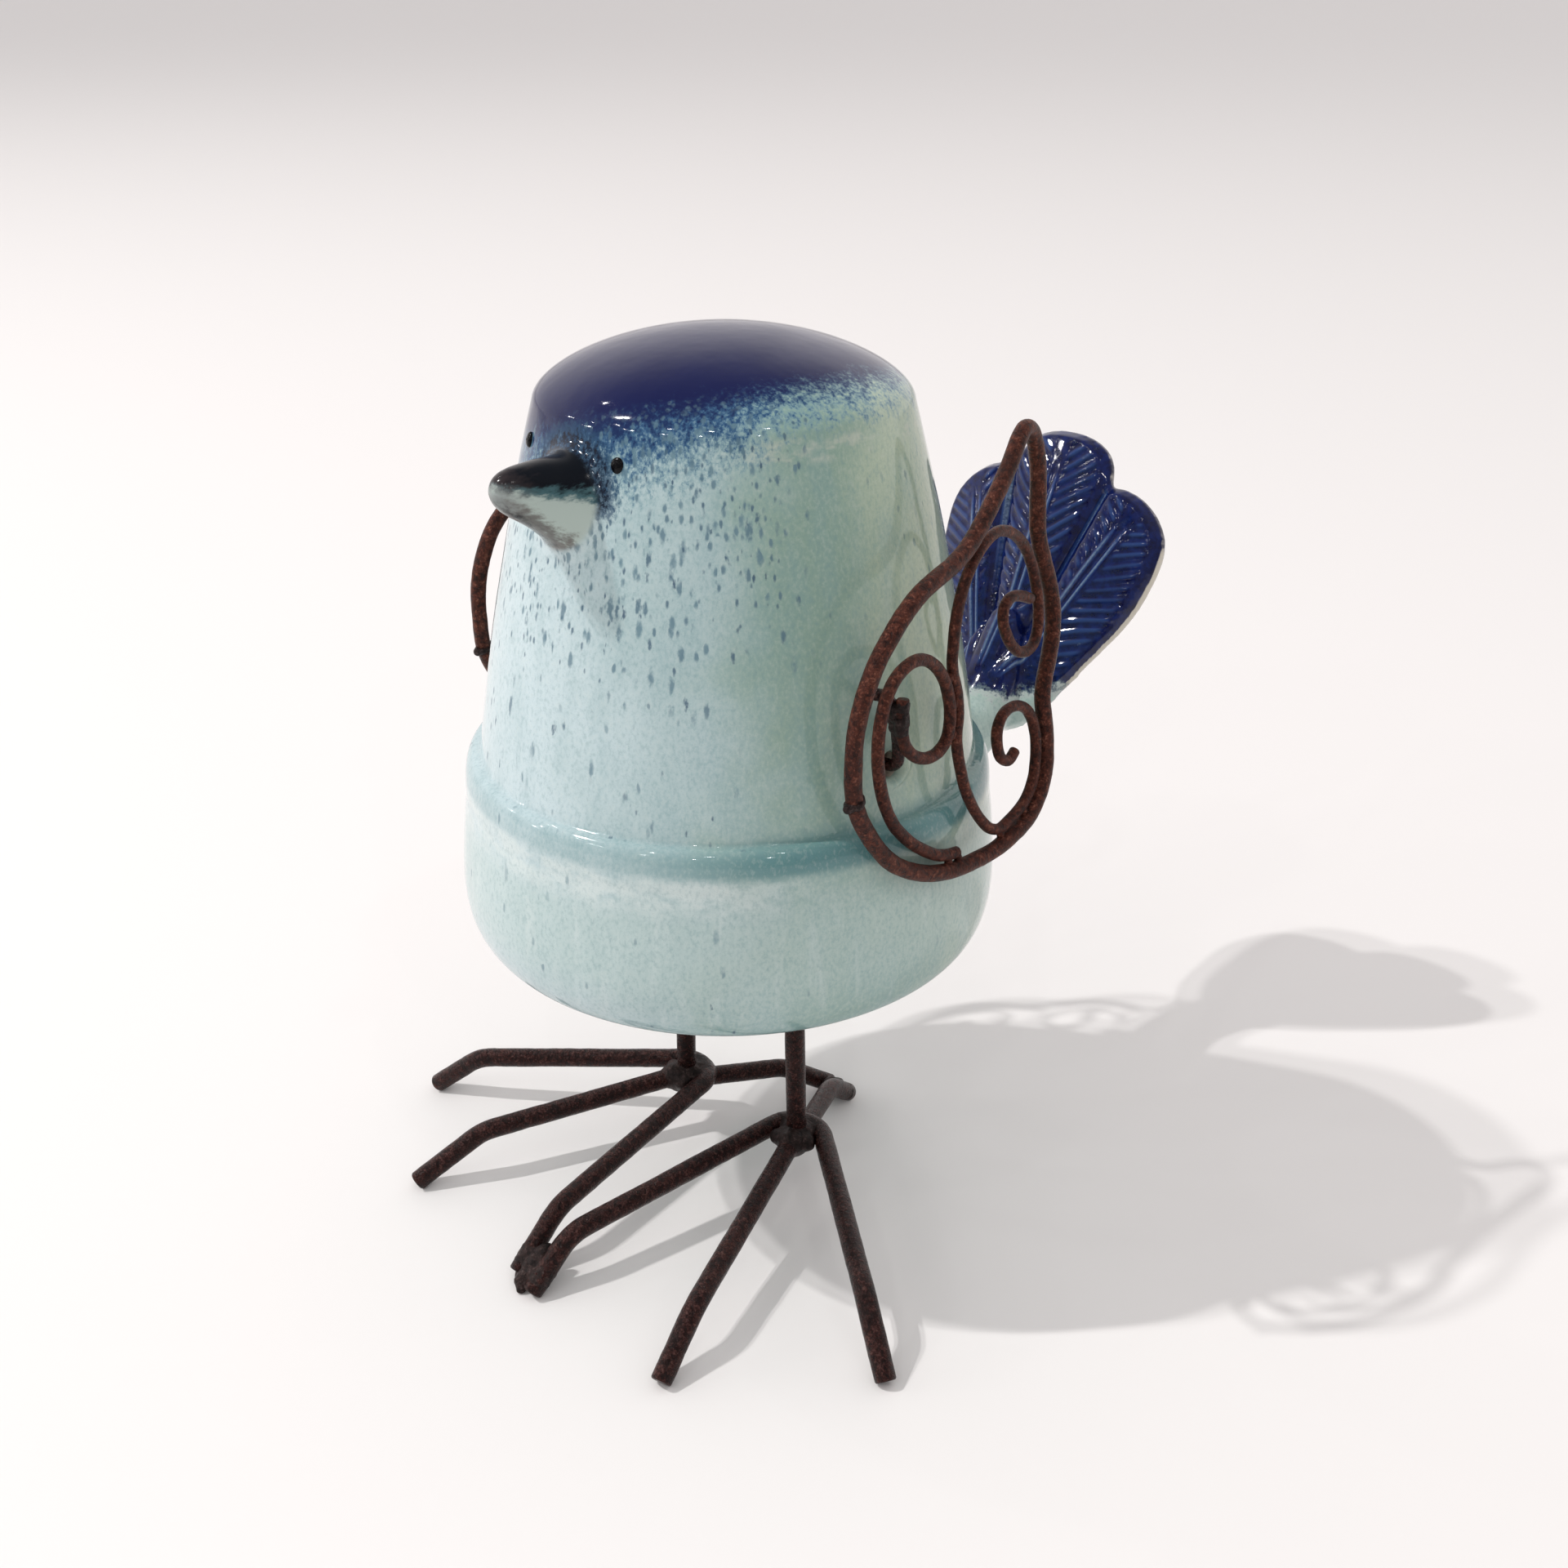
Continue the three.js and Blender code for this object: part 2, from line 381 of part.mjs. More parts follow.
const stand = new THREE.Group();
stand.position.set(0, 0, 0);
const standSolids = {};
for (const side of ['left', 'right']) {
  const f = FEET[side];
  const J = f.junction;
  const clearance = 2 * ROD + GAP + 0.1;
  const lean = [(f.top[0] - J[0]) / (f.top[2] - J[2]), (f.top[1] - J[1]) / (f.top[2] - J[2])];
  const legAt = (z) => [J[0] + lean[0] * (z - J[2]), J[1] + lean[1] * (z - J[2]), z];

  const leg = solid(rod([legAt(J[2] - 5), legAt(50), legAt(LEG_TOP)], ROD, 12));

  const arc = bowPath(f, clearance);
  const innerTip = tipped(f.inner[0], f.inner[1]), outerTip = tipped(f.outer[0], f.outer[1]);
  const bowCentre = [innerTip, ...bent([innerTip, f.inner[0], arc[0]], 14).slice(1, -1), ...arc,
    ...bent([arc[arc.length - 1], f.outer[0], outerTip], 14).slice(1, -1), outerTip];
  const bowRod = solid(rod(bowCentre, ROD, 10)).subtract(groundSolid);

  const reach = (P, start) => {
    const dx = P[0] - J[0], dy = P[1] - J[1], dz = P[2] - J[2], d = Math.hypot(dx, dy);
    return [J[0] + dx * start / d, J[1] + dy * start / d, J[2] + dz * start / d];
  };
  const fatBow = solid(rod(bowCentre, ROD + GAP, 10));
  const fatLeg = solid(rod([legAt(J[2] - 5 - GAP), legAt(LEG_TOP)], ROD + GAP, 12));
  const middleTip = tipped(f.middle[0], f.middle[1]);
  const middle = largest(solid(rod([reach(f.middle[0], ROD), ...bent([reach(f.middle[0], ROD), f.middle[0], middleTip], 14).slice(1)], ROD, 10))
    .subtract(groundSolid).subtract(fatLeg).subtract(fatBow));
  const backTip = tipped(f.back[0], f.back[1]);
  const backStart = reach(f.back[0], clearance + ROD);
  backStart[2] -= 1.8;
  const back = largest(solid(rod([backStart, ...bent([backStart, f.back[0], backTip], 14).slice(1)], ROD, 10))
    .subtract(groundSolid).subtract(fatBow).subtract(fatLeg));
  standSolids[side] = { leg, bowRod, middle, back, innerTip, backTip };

  // Weld in the crotch between leg, bow and middle toe.
  const fatMiddle = solid(rod([reach(f.middle[0], ROD - 1), f.middle[0]], ROD + GAP, 10));
  const weldAt = reach(f.middle[0], 5.2);
  const weld = largest(blob([weldAt[0], weldAt[1], weldAt[2] + 3.0], 5.6, 5.6, 4.2)
    .subtract(fatLeg).subtract(fatBow).subtract(fatMiddle));

  stand.add(mesh(`leg_${side}`, leg, 'rod'));
  stand.add(mesh(`toe_bow_${side}`, bowRod, 'rod'));
  stand.add(mesh(`toe_middle_${side}`, middle, 'rod'));
  stand.add(mesh(`toe_back_${side}`, back, 'rod'));
  stand.add(mesh(`foot_weld_${side}`, weld, 'weld'));

  // Threaded leg top: nut and soft washer under the floor, washer and nut above it.
  const hexagon = (centre) => {
    const s = new THREE.Shape();
    for (let i = 0; i < 6; i++) {
      const a = Math.PI / 3 * i, r = NUT_FLATS / Math.sqrt(3);
      if (i === 0) s.moveTo(r, 0); else s.lineTo(r * Math.cos(a), r * Math.sin(a));
    }
    s.closePath();
    s.holes.push(new THREE.Path(circle(ROD + GAP, 12).getPoints().slice(0, -1)));
    const g = new THREE.ExtrudeGeometry(s, { depth: NUT_HEIGHT, bevelEnabled: false });
    g.translate(...centre);
    return g;
  };
  const washer = (centre) => {
    const g = new THREE.LatheGeometry([[ROD + GAP, 0], [WASHER_RADIUS, 0], [WASHER_RADIUS, WASHER_HEIGHT], [ROD + GAP, WASHER_HEIGHT], [ROD + GAP, 0]].map((p) => new THREE.Vector2(...p)), 14);
    g.rotateX(Math.PI / 2);
    g.translate(...centre);
    return g;
  };
  const zw1 = BODY_BOTTOM - GAP - WASHER_HEIGHT, zn1 = zw1 - GAP - NUT_HEIGHT;
  const zw2 = BODY_BOTTOM + FLOOR + GAP, zn2 = zw2 + WASHER_HEIGHT + GAP;
  stand.add(mesh(`leg_nut_lower_${side}`, hexagon(legAt(zn1)), 'fixing'));
  stand.add(mesh(`leg_washer_lower_${side}`, washer(legAt(zw1)), 'rubber'));
  stand.add(mesh(`leg_washer_upper_${side}`, washer(legAt(zw2)), 'rubber'));
  stand.add(mesh(`leg_nut_upper_${side}`, hexagon(legAt(zn2)), 'fixing'));
}

// Welds that join the two feet in front and behind.
function join(name, knuckles, tips, size) {
  const c = tips[0].map((v, k) => (tips[0][k] + tips[1][k]) / 2);
  let b = blob([c[0], c[1] + size[3], size[2] + 0.2], size[0], size[1], size[2]);
  for (let i = 0; i < 2; i++) b = b.subtract(solid(rod([knuckles[i], tips[i]], ROD + GAP, 10)));
  return mesh(name, largest(b.subtract(groundSolid)), 'weld');
}
stand.add(join('front_toe_weld', [FEET.left.inner[0], FEET.right.inner[0]],
  [standSolids.left.innerTip, standSolids.right.innerTip], [5.2, 5.0, 4.6, 3.5]));
stand.add(join('back_toe_weld', [FEET.left.back[0], FEET.right.back[0]],
  [standSolids.left.backTip, standSolids.right.backTip], [4.6, 4.4, 4.4, -2.6]));

// ---------------------------------------------------------------- wings
const wingX = (y, z) => {
  const a = (y + 7) / 50, b = (z - 160) / 50, s = WING_SURFACE;
  return s[0] + s[1] * a + s[2] * b + s[3] * a * a + s[4] * a * b + s[5] * b * b;
};
const onWing = (list) => list.map(([y, z]) => [wingX(y, z), y, z]);
const pegCentre = [
  [69.0, -17.8, 183.2], [69.0, -14.2, 181.6], [69.0, -11.2, 178.5], [69.0, -9.6, 174.5], [68.95, -8.6, 169.5], [68.7, -7.7, 165.0],
  [67.9, -7.0, 161.8], [66.0, -6.7, 160.1], [63.6, -6.7, 159.7], [56.0, -6.7, 159.7], [48.0, -6.7, 159.7],
];

function wing(side) {
  const sign = side === 'left' ? 1 : -1;
  const local = (g) => {                      // measured from the peg hole
    const m = g instanceof THREE.BufferGeometry ? solid(g) : g;
    const t = m.translate([-PEG_HOLE[0], -PEG_HOLE[1], -PEG_HOLE[2]]);
    return sign > 0 ? t : t.mirror([1, 0, 0]);
  };
  const group = new THREE.Group();
  group.position.set(sign * PEG_HOLE[0], PEG_HOLE[1], PEG_HOLE[2]);

  const loopPoints = onWing(WING_LOOP);
  // the loop is butt welded, so its two ends stop just short of each other
  const first = V(loopPoints[0]), second = V(loopPoints[1]);
  const last = V(loopPoints[loopPoints.length - 2]);
  loopPoints[0] = first.clone().addScaledVector(second.clone().sub(first).normalize(), 0.25).toArray();
  loopPoints[loopPoints.length - 1] = first.clone().addScaledVector(last.clone().sub(first).normalize(), 0.25).toArray();
  const loop = rod(loopPoints, LOOP_WIRE, 8);
  group.add(mesh(`wing_loop_${side}`, local(loop), 'wing'));

  const s1 = onWing(FRONT_SCROLL), s2 = onWing(REAR_SCROLL);
  group.add(mesh(`front_scroll_${side}`, local(rod(s1, FRONT_WIRE, 7)), 'wing'));
  group.add(mesh(`rear_scroll_${side}`, local(rod(s2, REAR_WIRE, 7)), 'wing'));
  group.add(mesh(`wing_peg_${side}`, local(rod(pegCentre, PEG_WIRE, 8)), 'wing'));

  // knot of weld round the butt joint
  const dir = second.clone().sub(last).normalize();
  const knot = new THREE.LatheGeometry([[LOOP_WIRE + GAP, -2.2], [LOOP_WIRE + 0.9, -2.2], [LOOP_WIRE + 1.7, -0.6], [LOOP_WIRE + 1.5, 0.9], [LOOP_WIRE + 0.8, 2.0], [LOOP_WIRE + GAP, 2.0], [LOOP_WIRE + GAP, -2.2]].map((p) => new THREE.Vector2(...p)), 12);
  knot.applyQuaternion(new THREE.Quaternion().setFromUnitVectors(new THREE.Vector3(0, 1, 0), dir));
  knot.translate(first.x, first.y, first.z);
  group.add(mesh(`loop_weld_${side}`, local(knot), 'weld'));

  // weld between the peg and the inner end of the front scroll
  const pegWeld = largest(blob([70.6, -11.6, 175.5], 3.2, 2.9, 5.2)
    .subtract(solid(rod(pegCentre, PEG_WIRE + GAP, 8)))
    .subtract(solid(rod(s1, FRONT_WIRE + GAP, 7))));
  group.add(mesh(`peg_weld_${side}`, local(pegWeld), 'weld'));
  return group;
}

// ---------------------------------------------------------------- assembly
const bird = new THREE.Group();
bird.add(mesh('body_shell', shell, 'glaze'));
bird.add(mesh('beak', beak, 'beak'));
bird.add(mesh('tail', tail, 'cobalt'));
bird.add(stand);
bird.add(wing('left'));
bird.add(wing('right'));
bird.position.set(BODY_AXIS_X, BODY_AXIS_Y, 0);

const ornament = new THREE.Group();
ornament.add(bird);
export default ornament;
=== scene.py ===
import bpy
import math
import numpy as np
from mathutils import Matrix, Vector, noise
from mathutils.kdtree import KDTree


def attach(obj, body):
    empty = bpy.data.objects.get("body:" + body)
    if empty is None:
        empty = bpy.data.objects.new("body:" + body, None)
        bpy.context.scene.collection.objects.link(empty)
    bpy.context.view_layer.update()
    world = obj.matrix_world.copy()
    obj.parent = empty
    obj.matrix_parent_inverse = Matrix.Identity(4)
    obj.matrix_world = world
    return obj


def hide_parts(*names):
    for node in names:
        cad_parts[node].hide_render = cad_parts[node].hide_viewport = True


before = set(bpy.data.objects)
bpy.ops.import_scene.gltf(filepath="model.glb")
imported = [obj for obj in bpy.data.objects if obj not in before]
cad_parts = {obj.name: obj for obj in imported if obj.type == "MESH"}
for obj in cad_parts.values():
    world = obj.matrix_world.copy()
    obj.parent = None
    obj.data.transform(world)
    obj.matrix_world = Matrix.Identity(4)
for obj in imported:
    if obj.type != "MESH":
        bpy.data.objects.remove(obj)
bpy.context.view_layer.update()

# ------------------------------------------------------------------ dimensions, millimetres
AXIS = np.array([-0.6, -37.1, 0.0])      # axis of the ceramic body in the row frame
BODY_TOP, BODY_BOTTOM = 257.6, 86.8
PEG_HOLE = np.array([65.6, -6.7, 159.7])
ROD, LOOP_WIRE, FRONT_WIRE, REAR_WIRE, PEG_WIRE = 3.0, 2.2, 1.6, 1.5, 1.6
TILT = math.radians(64.7)
TIP = np.array([0.0, 153.5, 204.8])
BOW = 0.0036
FEET = {
    "left": dict(top=(23.43, 2.30, 90), junction=(24.27, 3.77, 20.3),
                 inner=((5.87, -68.82, 14.7), (5.1, -81.85, 3.0)), middle=((51.81, -63.78, 14.1), (55.82, -78.97, 3.0)),
                 outer=((83.38, -30.9, 17.6), (96.9, -37.7, 3.0)), back=((6.97, 37.56, 11.8), (4.1, 48.2, 3.0))),
    "right": dict(top=(-24.39, 2.76, 90), junction=(-23.99, 3.21, 19.0),
                  inner=((-4.9, -64.95, 15.6), (-4.3, -79.3, 3.0)), middle=((-49.78, -58.55, 15.1), (-57.82, -76.38, 3.0)),
                  outer=((-83.22, -34.92, 14.7), (-95.6, -42.4, 3.0)), back=((-10.8, 33.6, 12.5), (-4.4, 47.6, 3.0))),
}
WING_SURFACE = [72.99, -0.90, -4.00, -1.60, -7.10, 3.50]
WING_LOOP = [
    (-28.3, 159.3), (-28.8, 164.0), (-28.9, 168.6), (-28.9, 173.3), (-28.4, 178.0), (-27.3, 182.5),
    (-25.7, 186.9), (-23.6, 191.1), (-20.9, 194.9), (-17.6, 198.2), (-14.1, 201.3), (-10.2, 204.0),
    (-6.0, 206.0), (-1.5, 207.3), (3.1, 208.2), (7.7, 209.0), (12.2, 210.3), (16.6, 212.1),
    (20.6, 214.5), (24.4, 217.2), (28.2, 220.0), (31.9, 222.9), (35.5, 225.8), (39.0, 228.9),
    (42.3, 232.3), (46.5, 234.3), (50.8, 232.8), (53.7, 229.2), (55.4, 224.8), (56.0, 220.2),
    (55.8, 215.5), (55.3, 210.9), (55.1, 206.2), (56.0, 201.6), (57.6, 197.2), (59.3, 192.8),
    (60.4, 188.2), (60.6, 183.6), (59.6, 179.0), (57.6, 174.8), (55.1, 170.8), (52.4, 167.0),
    (50.4, 162.8), (50.0, 158.1), (49.7, 153.4), (48.7, 148.8), (47.1, 144.5), (44.5, 140.6),
    (41.1, 137.3), (37.3, 134.6), (33.0, 132.9), (28.4, 131.7), (23.8, 130.7), (19.2, 130.2),
    (14.5, 130.1), (9.8, 130.1), (5.1, 130.4), (0.5, 131.2), (-4.0, 132.5), (-8.3, 134.4),
    (-12.3, 136.7), (-16.1, 139.6), (-19.2, 143.0), (-22.0, 146.8), (-24.4, 150.8), (-26.6, 154.9),
    (-28.3, 159.3),
]
FRONT_SCROLL = [
    (7.7, 134.4), (3.8, 134.9), (0.1, 136.1), (-3.3, 138.1), (-6.5, 140.4), (-9.4, 142.9),
    (-12.1, 145.8), (-14.5, 148.9), (-16.4, 152.4), (-17.8, 156.0), (-18.9, 159.8), (-19.6, 163.6),
    (-20.0, 167.5), (-20.0, 171.4), (-19.7, 175.3), (-18.9, 179.1), (-17.6, 182.8), (-15.4, 186.0),
    (-12.2, 188.2), (-8.4, 189.2), (-4.5, 189.0), (-0.9, 187.6), (2.3, 185.3), (4.9, 182.5),
    (6.9, 179.1), (8.1, 175.4), (8.6, 171.5), (8.0, 167.7), (6.1, 164.3), (2.6, 162.5),
    (-1.2, 162.4), (-4.9, 163.7), (-8.0, 166.0), (-10.2, 169.3), (-11.1, 173.1), (-11.1, 177.0),
    (-10.8, 180.9),
]
REAR_SCROLL = [
    (49.0, 189.4), (45.4, 191.0), (41.7, 192.2), (37.8, 192.5), (34.6, 190.6), (34.3, 186.8),
    (35.7, 183.2), (38.0, 180.0), (41.0, 177.6), (44.8, 176.6), (48.5, 177.4), (51.2, 180.2),
    (52.6, 183.8), (53.0, 187.7), (52.5, 191.6), (51.6, 195.4), (50.1, 199.0), (48.1, 202.3),
    (45.5, 205.2), (42.4, 207.6), (38.9, 209.5), (35.3, 210.9), (31.4, 211.6), (27.6, 211.3),
    (23.8, 210.2), (20.4, 208.3), (17.4, 205.8), (14.9, 202.8), (13.0, 199.4), (11.7, 195.7),
    (10.8, 191.9), (10.2, 188.0), (9.8, 184.1), (10.3, 180.3), (11.5, 176.6), (12.1, 172.7),
    (11.9, 168.8), (10.9, 165.0), (10.8, 161.2), (11.3, 157.3), (12.0, 153.4), (12.9, 149.6),
    (14.3, 146.0), (16.0, 142.5), (18.2, 139.2), (20.9, 136.4), (24.5, 135.1), (28.3, 135.9),
    (32.0, 137.0), (35.6, 138.5), (38.8, 140.8), (41.4, 143.7), (43.2, 147.2), (44.4, 150.9),
    (44.8, 154.8), (44.1, 158.6), (42.0, 161.9), (38.6, 163.8), (34.8, 164.4), (31.0, 163.5),
    (28.4, 160.7), (27.6, 156.9), (28.5, 153.1), (31.6, 151.2), (35.1, 152.9),
]
PEG = [(69.0, -17.8, 183.2), (69.0, -14.2, 181.6), (69.0, -11.2, 178.5), (69.0, -9.6, 174.5), (68.95, -8.6, 169.5), (68.7, -7.7, 165.0),
       (67.9, -7.0, 161.8), (66.0, -6.7, 160.1), (63.6, -6.7, 159.7), (56.0, -6.7, 159.7), (48.2, -6.7, 159.7)]
TAIL_HALF = [
    (0, 0), (3.5, -0.1), (7, -0.6), (10.2, -1.6), (13, -3.0), (15.6, -5.2), (17.4, -8.2), (18.3, -11.2), (18.9, -14.0), (19.6, -14.6), (21.4, -13.9),
    (24.2, -13.9), (27.1, -14.5), (30.2, -15.6), (32.9, -17.2), (35.8, -19.4), (38.1, -22.0), (40.2, -25.2), (41.4, -28.9), (41.9, -32.8), (41.6, -37.5),
    (40.7, -44.0), (39.7, -48.8), (38.1, -53.6), (36.2, -58.2), (33.9, -62.6), (29.5, -70.9), (23.6, -81.3), (16.5, -91.0), (9.0, -98.0),
]
APEX_S = -100.0


def place(points):
    """Millimetres about the body axis to metres in the row frame."""
    return (np.asarray(points, float) + AXIS) * 0.001


def smoothstep(a, b, x):
    t = np.clip((x - a) / (b - a), 0, 1)
    return t * t * (3 - 2 * t)


def make(name, verts_mm, faces, body, smooth=True):
    me = bpy.data.meshes.new(name)
    me.from_pydata(place(verts_mm).tolist(), [], [tuple(int(i) for i in f) for f in faces])
    me.validate()
    me.update()
    if smooth:
        me.polygons.foreach_set("use_smooth", [True] * len(me.polygons))
    ob = bpy.data.objects.new(name, me)
    bpy.context.scene.collection.objects.link(ob)
    if body:
        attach(ob, body)
    return ob


def coords_mm(ob):
    co = np.zeros(len(ob.data.vertices) * 3, np.float64)
    ob.data.vertices.foreach_get("co", co)
    return co.reshape(-1, 3) * 1000 - AXIS


def set_coords_mm(ob, v):
    ob.data.vertices.foreach_set("co", ((v + AXIS) * 0.001).astype(np.float32).ravel())
    ob.data.update()


def vnoise(p, scale, seed=0.0):
    """Smooth noise at points, -1..1, scale in millimetres."""
    return np.array([noise.noise(Vector((a[0] / scale + seed, a[1] / scale - seed, a[2] / scale + 2 * seed))) for a in p])


# ------------------------------------------------------------------ camera at the measured view
yaw_az = math.radians(46.45 - 2.05)
pitch, roll = math.radians(-25.45), math.radians(0.26)
eye = Vector((317.262 + AXIS[0], -301.597 + AXIS[1], 338.7)) * 0.001
F = Vector((-math.sin(yaw_az) * math.cos(pitch), math.cos(yaw_az) * math.cos(pitch), math.sin(pitch)))
R = F.cross(Vector((0, 0, 1))).normalized()
U = R.cross(F)
R2 = R * math.cos(roll) + U * math.sin(roll)
U2 = -R * math.sin(roll) + U * math.cos(roll)
cam_data = bpy.data.cameras.new("camera")
cam_data.sensor_fit = "HORIZONTAL"
cam_data.sensor_width = 36.0
cam_data.lens = 2101.68 / 1920 * 36.0
cam_data.clip_start, cam_data.clip_end = 0.01, 50
cam = bpy.data.objects.new("camera", cam_data)
cam.matrix_world = Matrix(((R2.x, U2.x, -F.x, eye.x), (R2.y, U2.y, -F.y, eye.y), (R2.z, U2.z, -F.z, eye.z), (0, 0, 0, 1)))
bpy.context.scene.collection.objects.link(cam)
bpy.context.scene.camera = cam


# ------------------------------------------------------------------ node helpers
class Nodes:
    def __init__(self, name):
        self.mat = bpy.data.materials.new(name)
        self.mat.use_nodes = True
        self.nt = self.mat.node_tree
        self.nt.nodes.clear()
        self.out = self.nt.nodes.new("ShaderNodeOutputMaterial")
        self.bsdf = self.nt.nodes.new("ShaderNodeBsdfPrincipled")
        self.link(self.bsdf.outputs[0], self.out.inputs[0])
        tc = self.nt.nodes.new("ShaderNodeTexCoord")
        mp = self.nt.nodes.new("ShaderNodeVectorMath")
        mp.operation = "MULTIPLY_ADD"
        self.link(tc.outputs["Object"], mp.inputs[0])
        mp.inputs[1].default_value = (1000, 1000, 1000)
        mp.inputs[2].default_value = tuple(-AXIS)
        self.pos = mp.outputs[0]            # millimetres about the body axis
        sp = self.nt.nodes.new("ShaderNodeSeparateXYZ")
        self.link(self.pos, sp.inputs[0])
        self.x, self.y, self.z = sp.outputs

    def link(self, a, b):
        self.nt.links.new(a, b)

    def put(self, socket, v):
        if isinstance(v, bpy.types.NodeSocket):
            self.link(v, socket)
        elif hasattr(v, "__len__") and len(v) == 3 and socket.type == "RGBA":
            socket.default_value = (*v, 1)
        else:
            socket.default_value = v

    def m(self, op, a, b=0.0, c=0.0, clamp=False):
        n = self.nt.nodes.new("ShaderNodeMath")
        n.operation = op
        n.use_clamp = clamp
        for s, v in zip(n.inputs, (a, b, c)):
            self.put(s, v)
        return n.outputs[0]

    def step(self, x, lo, hi, a=0.0, b=1.0):
        n = self.nt.nodes.new("ShaderNodeMapRange")
        n.interpolation_type = "SMOOTHSTEP"
        self.put(n.inputs[0], x)
        for s, v in zip(n.inputs[1:5], (lo, hi, a, b)):
            self.put(s, v)
        return n.outputs[0]

    def scaled(self, sx, sy, sz, off=(0, 0, 0)):
        n = self.nt.nodes.new("ShaderNodeVectorMath")
        n.operation = "MULTIPLY_ADD"
        self.link(self.pos, n.inputs[0])
        n.inputs[1].default_value = (sx, sy, sz)
        n.inputs[2].default_value = off
        return n.outputs[0]

    def noise(self, vec, scale, detail=2.0, rough=0.5, distort=0.0):
        n = self.nt.nodes.new("ShaderNodeTexNoise")
        self.link(vec, n.inputs["Vector"])
        n.inputs["Scale"].default_value = scale
        n.inputs["Detail"].default_value = detail
        n.inputs["Roughness"].default_value = rough
        n.inputs["Distortion"].default_value = distort
        return n.outputs[0]

    def voronoi(self, vec, scale, rnd=1.0):
        n = self.nt.nodes.new("ShaderNodeTexVoronoi")
        self.link(vec, n.inputs["Vector"])
        n.inputs["Scale"].default_value = scale
        n.inputs["Randomness"].default_value = rnd
        s = self.nt.nodes.new("ShaderNodeSeparateColor")
        self.link(n.outputs["Color"], s.inputs[0])
        return n.outputs["Distance"], s.outputs[0], s.outputs[1]

    def mix(self, f, a, b):
        n = self.nt.nodes.new("ShaderNodeMix")
        n.data_type = "RGBA"
        self.put(n.inputs[0], f)
        self.put(n.inputs[6], a)
        self.put(n.inputs[7], b)
        return n.outputs[2]

    def attr(self, name):
        n = self.nt.nodes.new("ShaderNodeAttribute")
        n.attribute_name = name
        return n.outputs["Fac"]

    def bump(self, height, distance, strength=1.0):
        n = self.nt.nodes.new("ShaderNodeBump")
        n.inputs["Strength"].default_value = strength
        n.inputs["Distance"].default_value = distance
        self.link(height, n.inputs["Height"])
        self.link(n.outputs[0], self.bsdf.inputs["Normal"])
        return n


def assign(ob, mat):
    ob.data.materials.clear()
    ob.data.materials.append(mat)


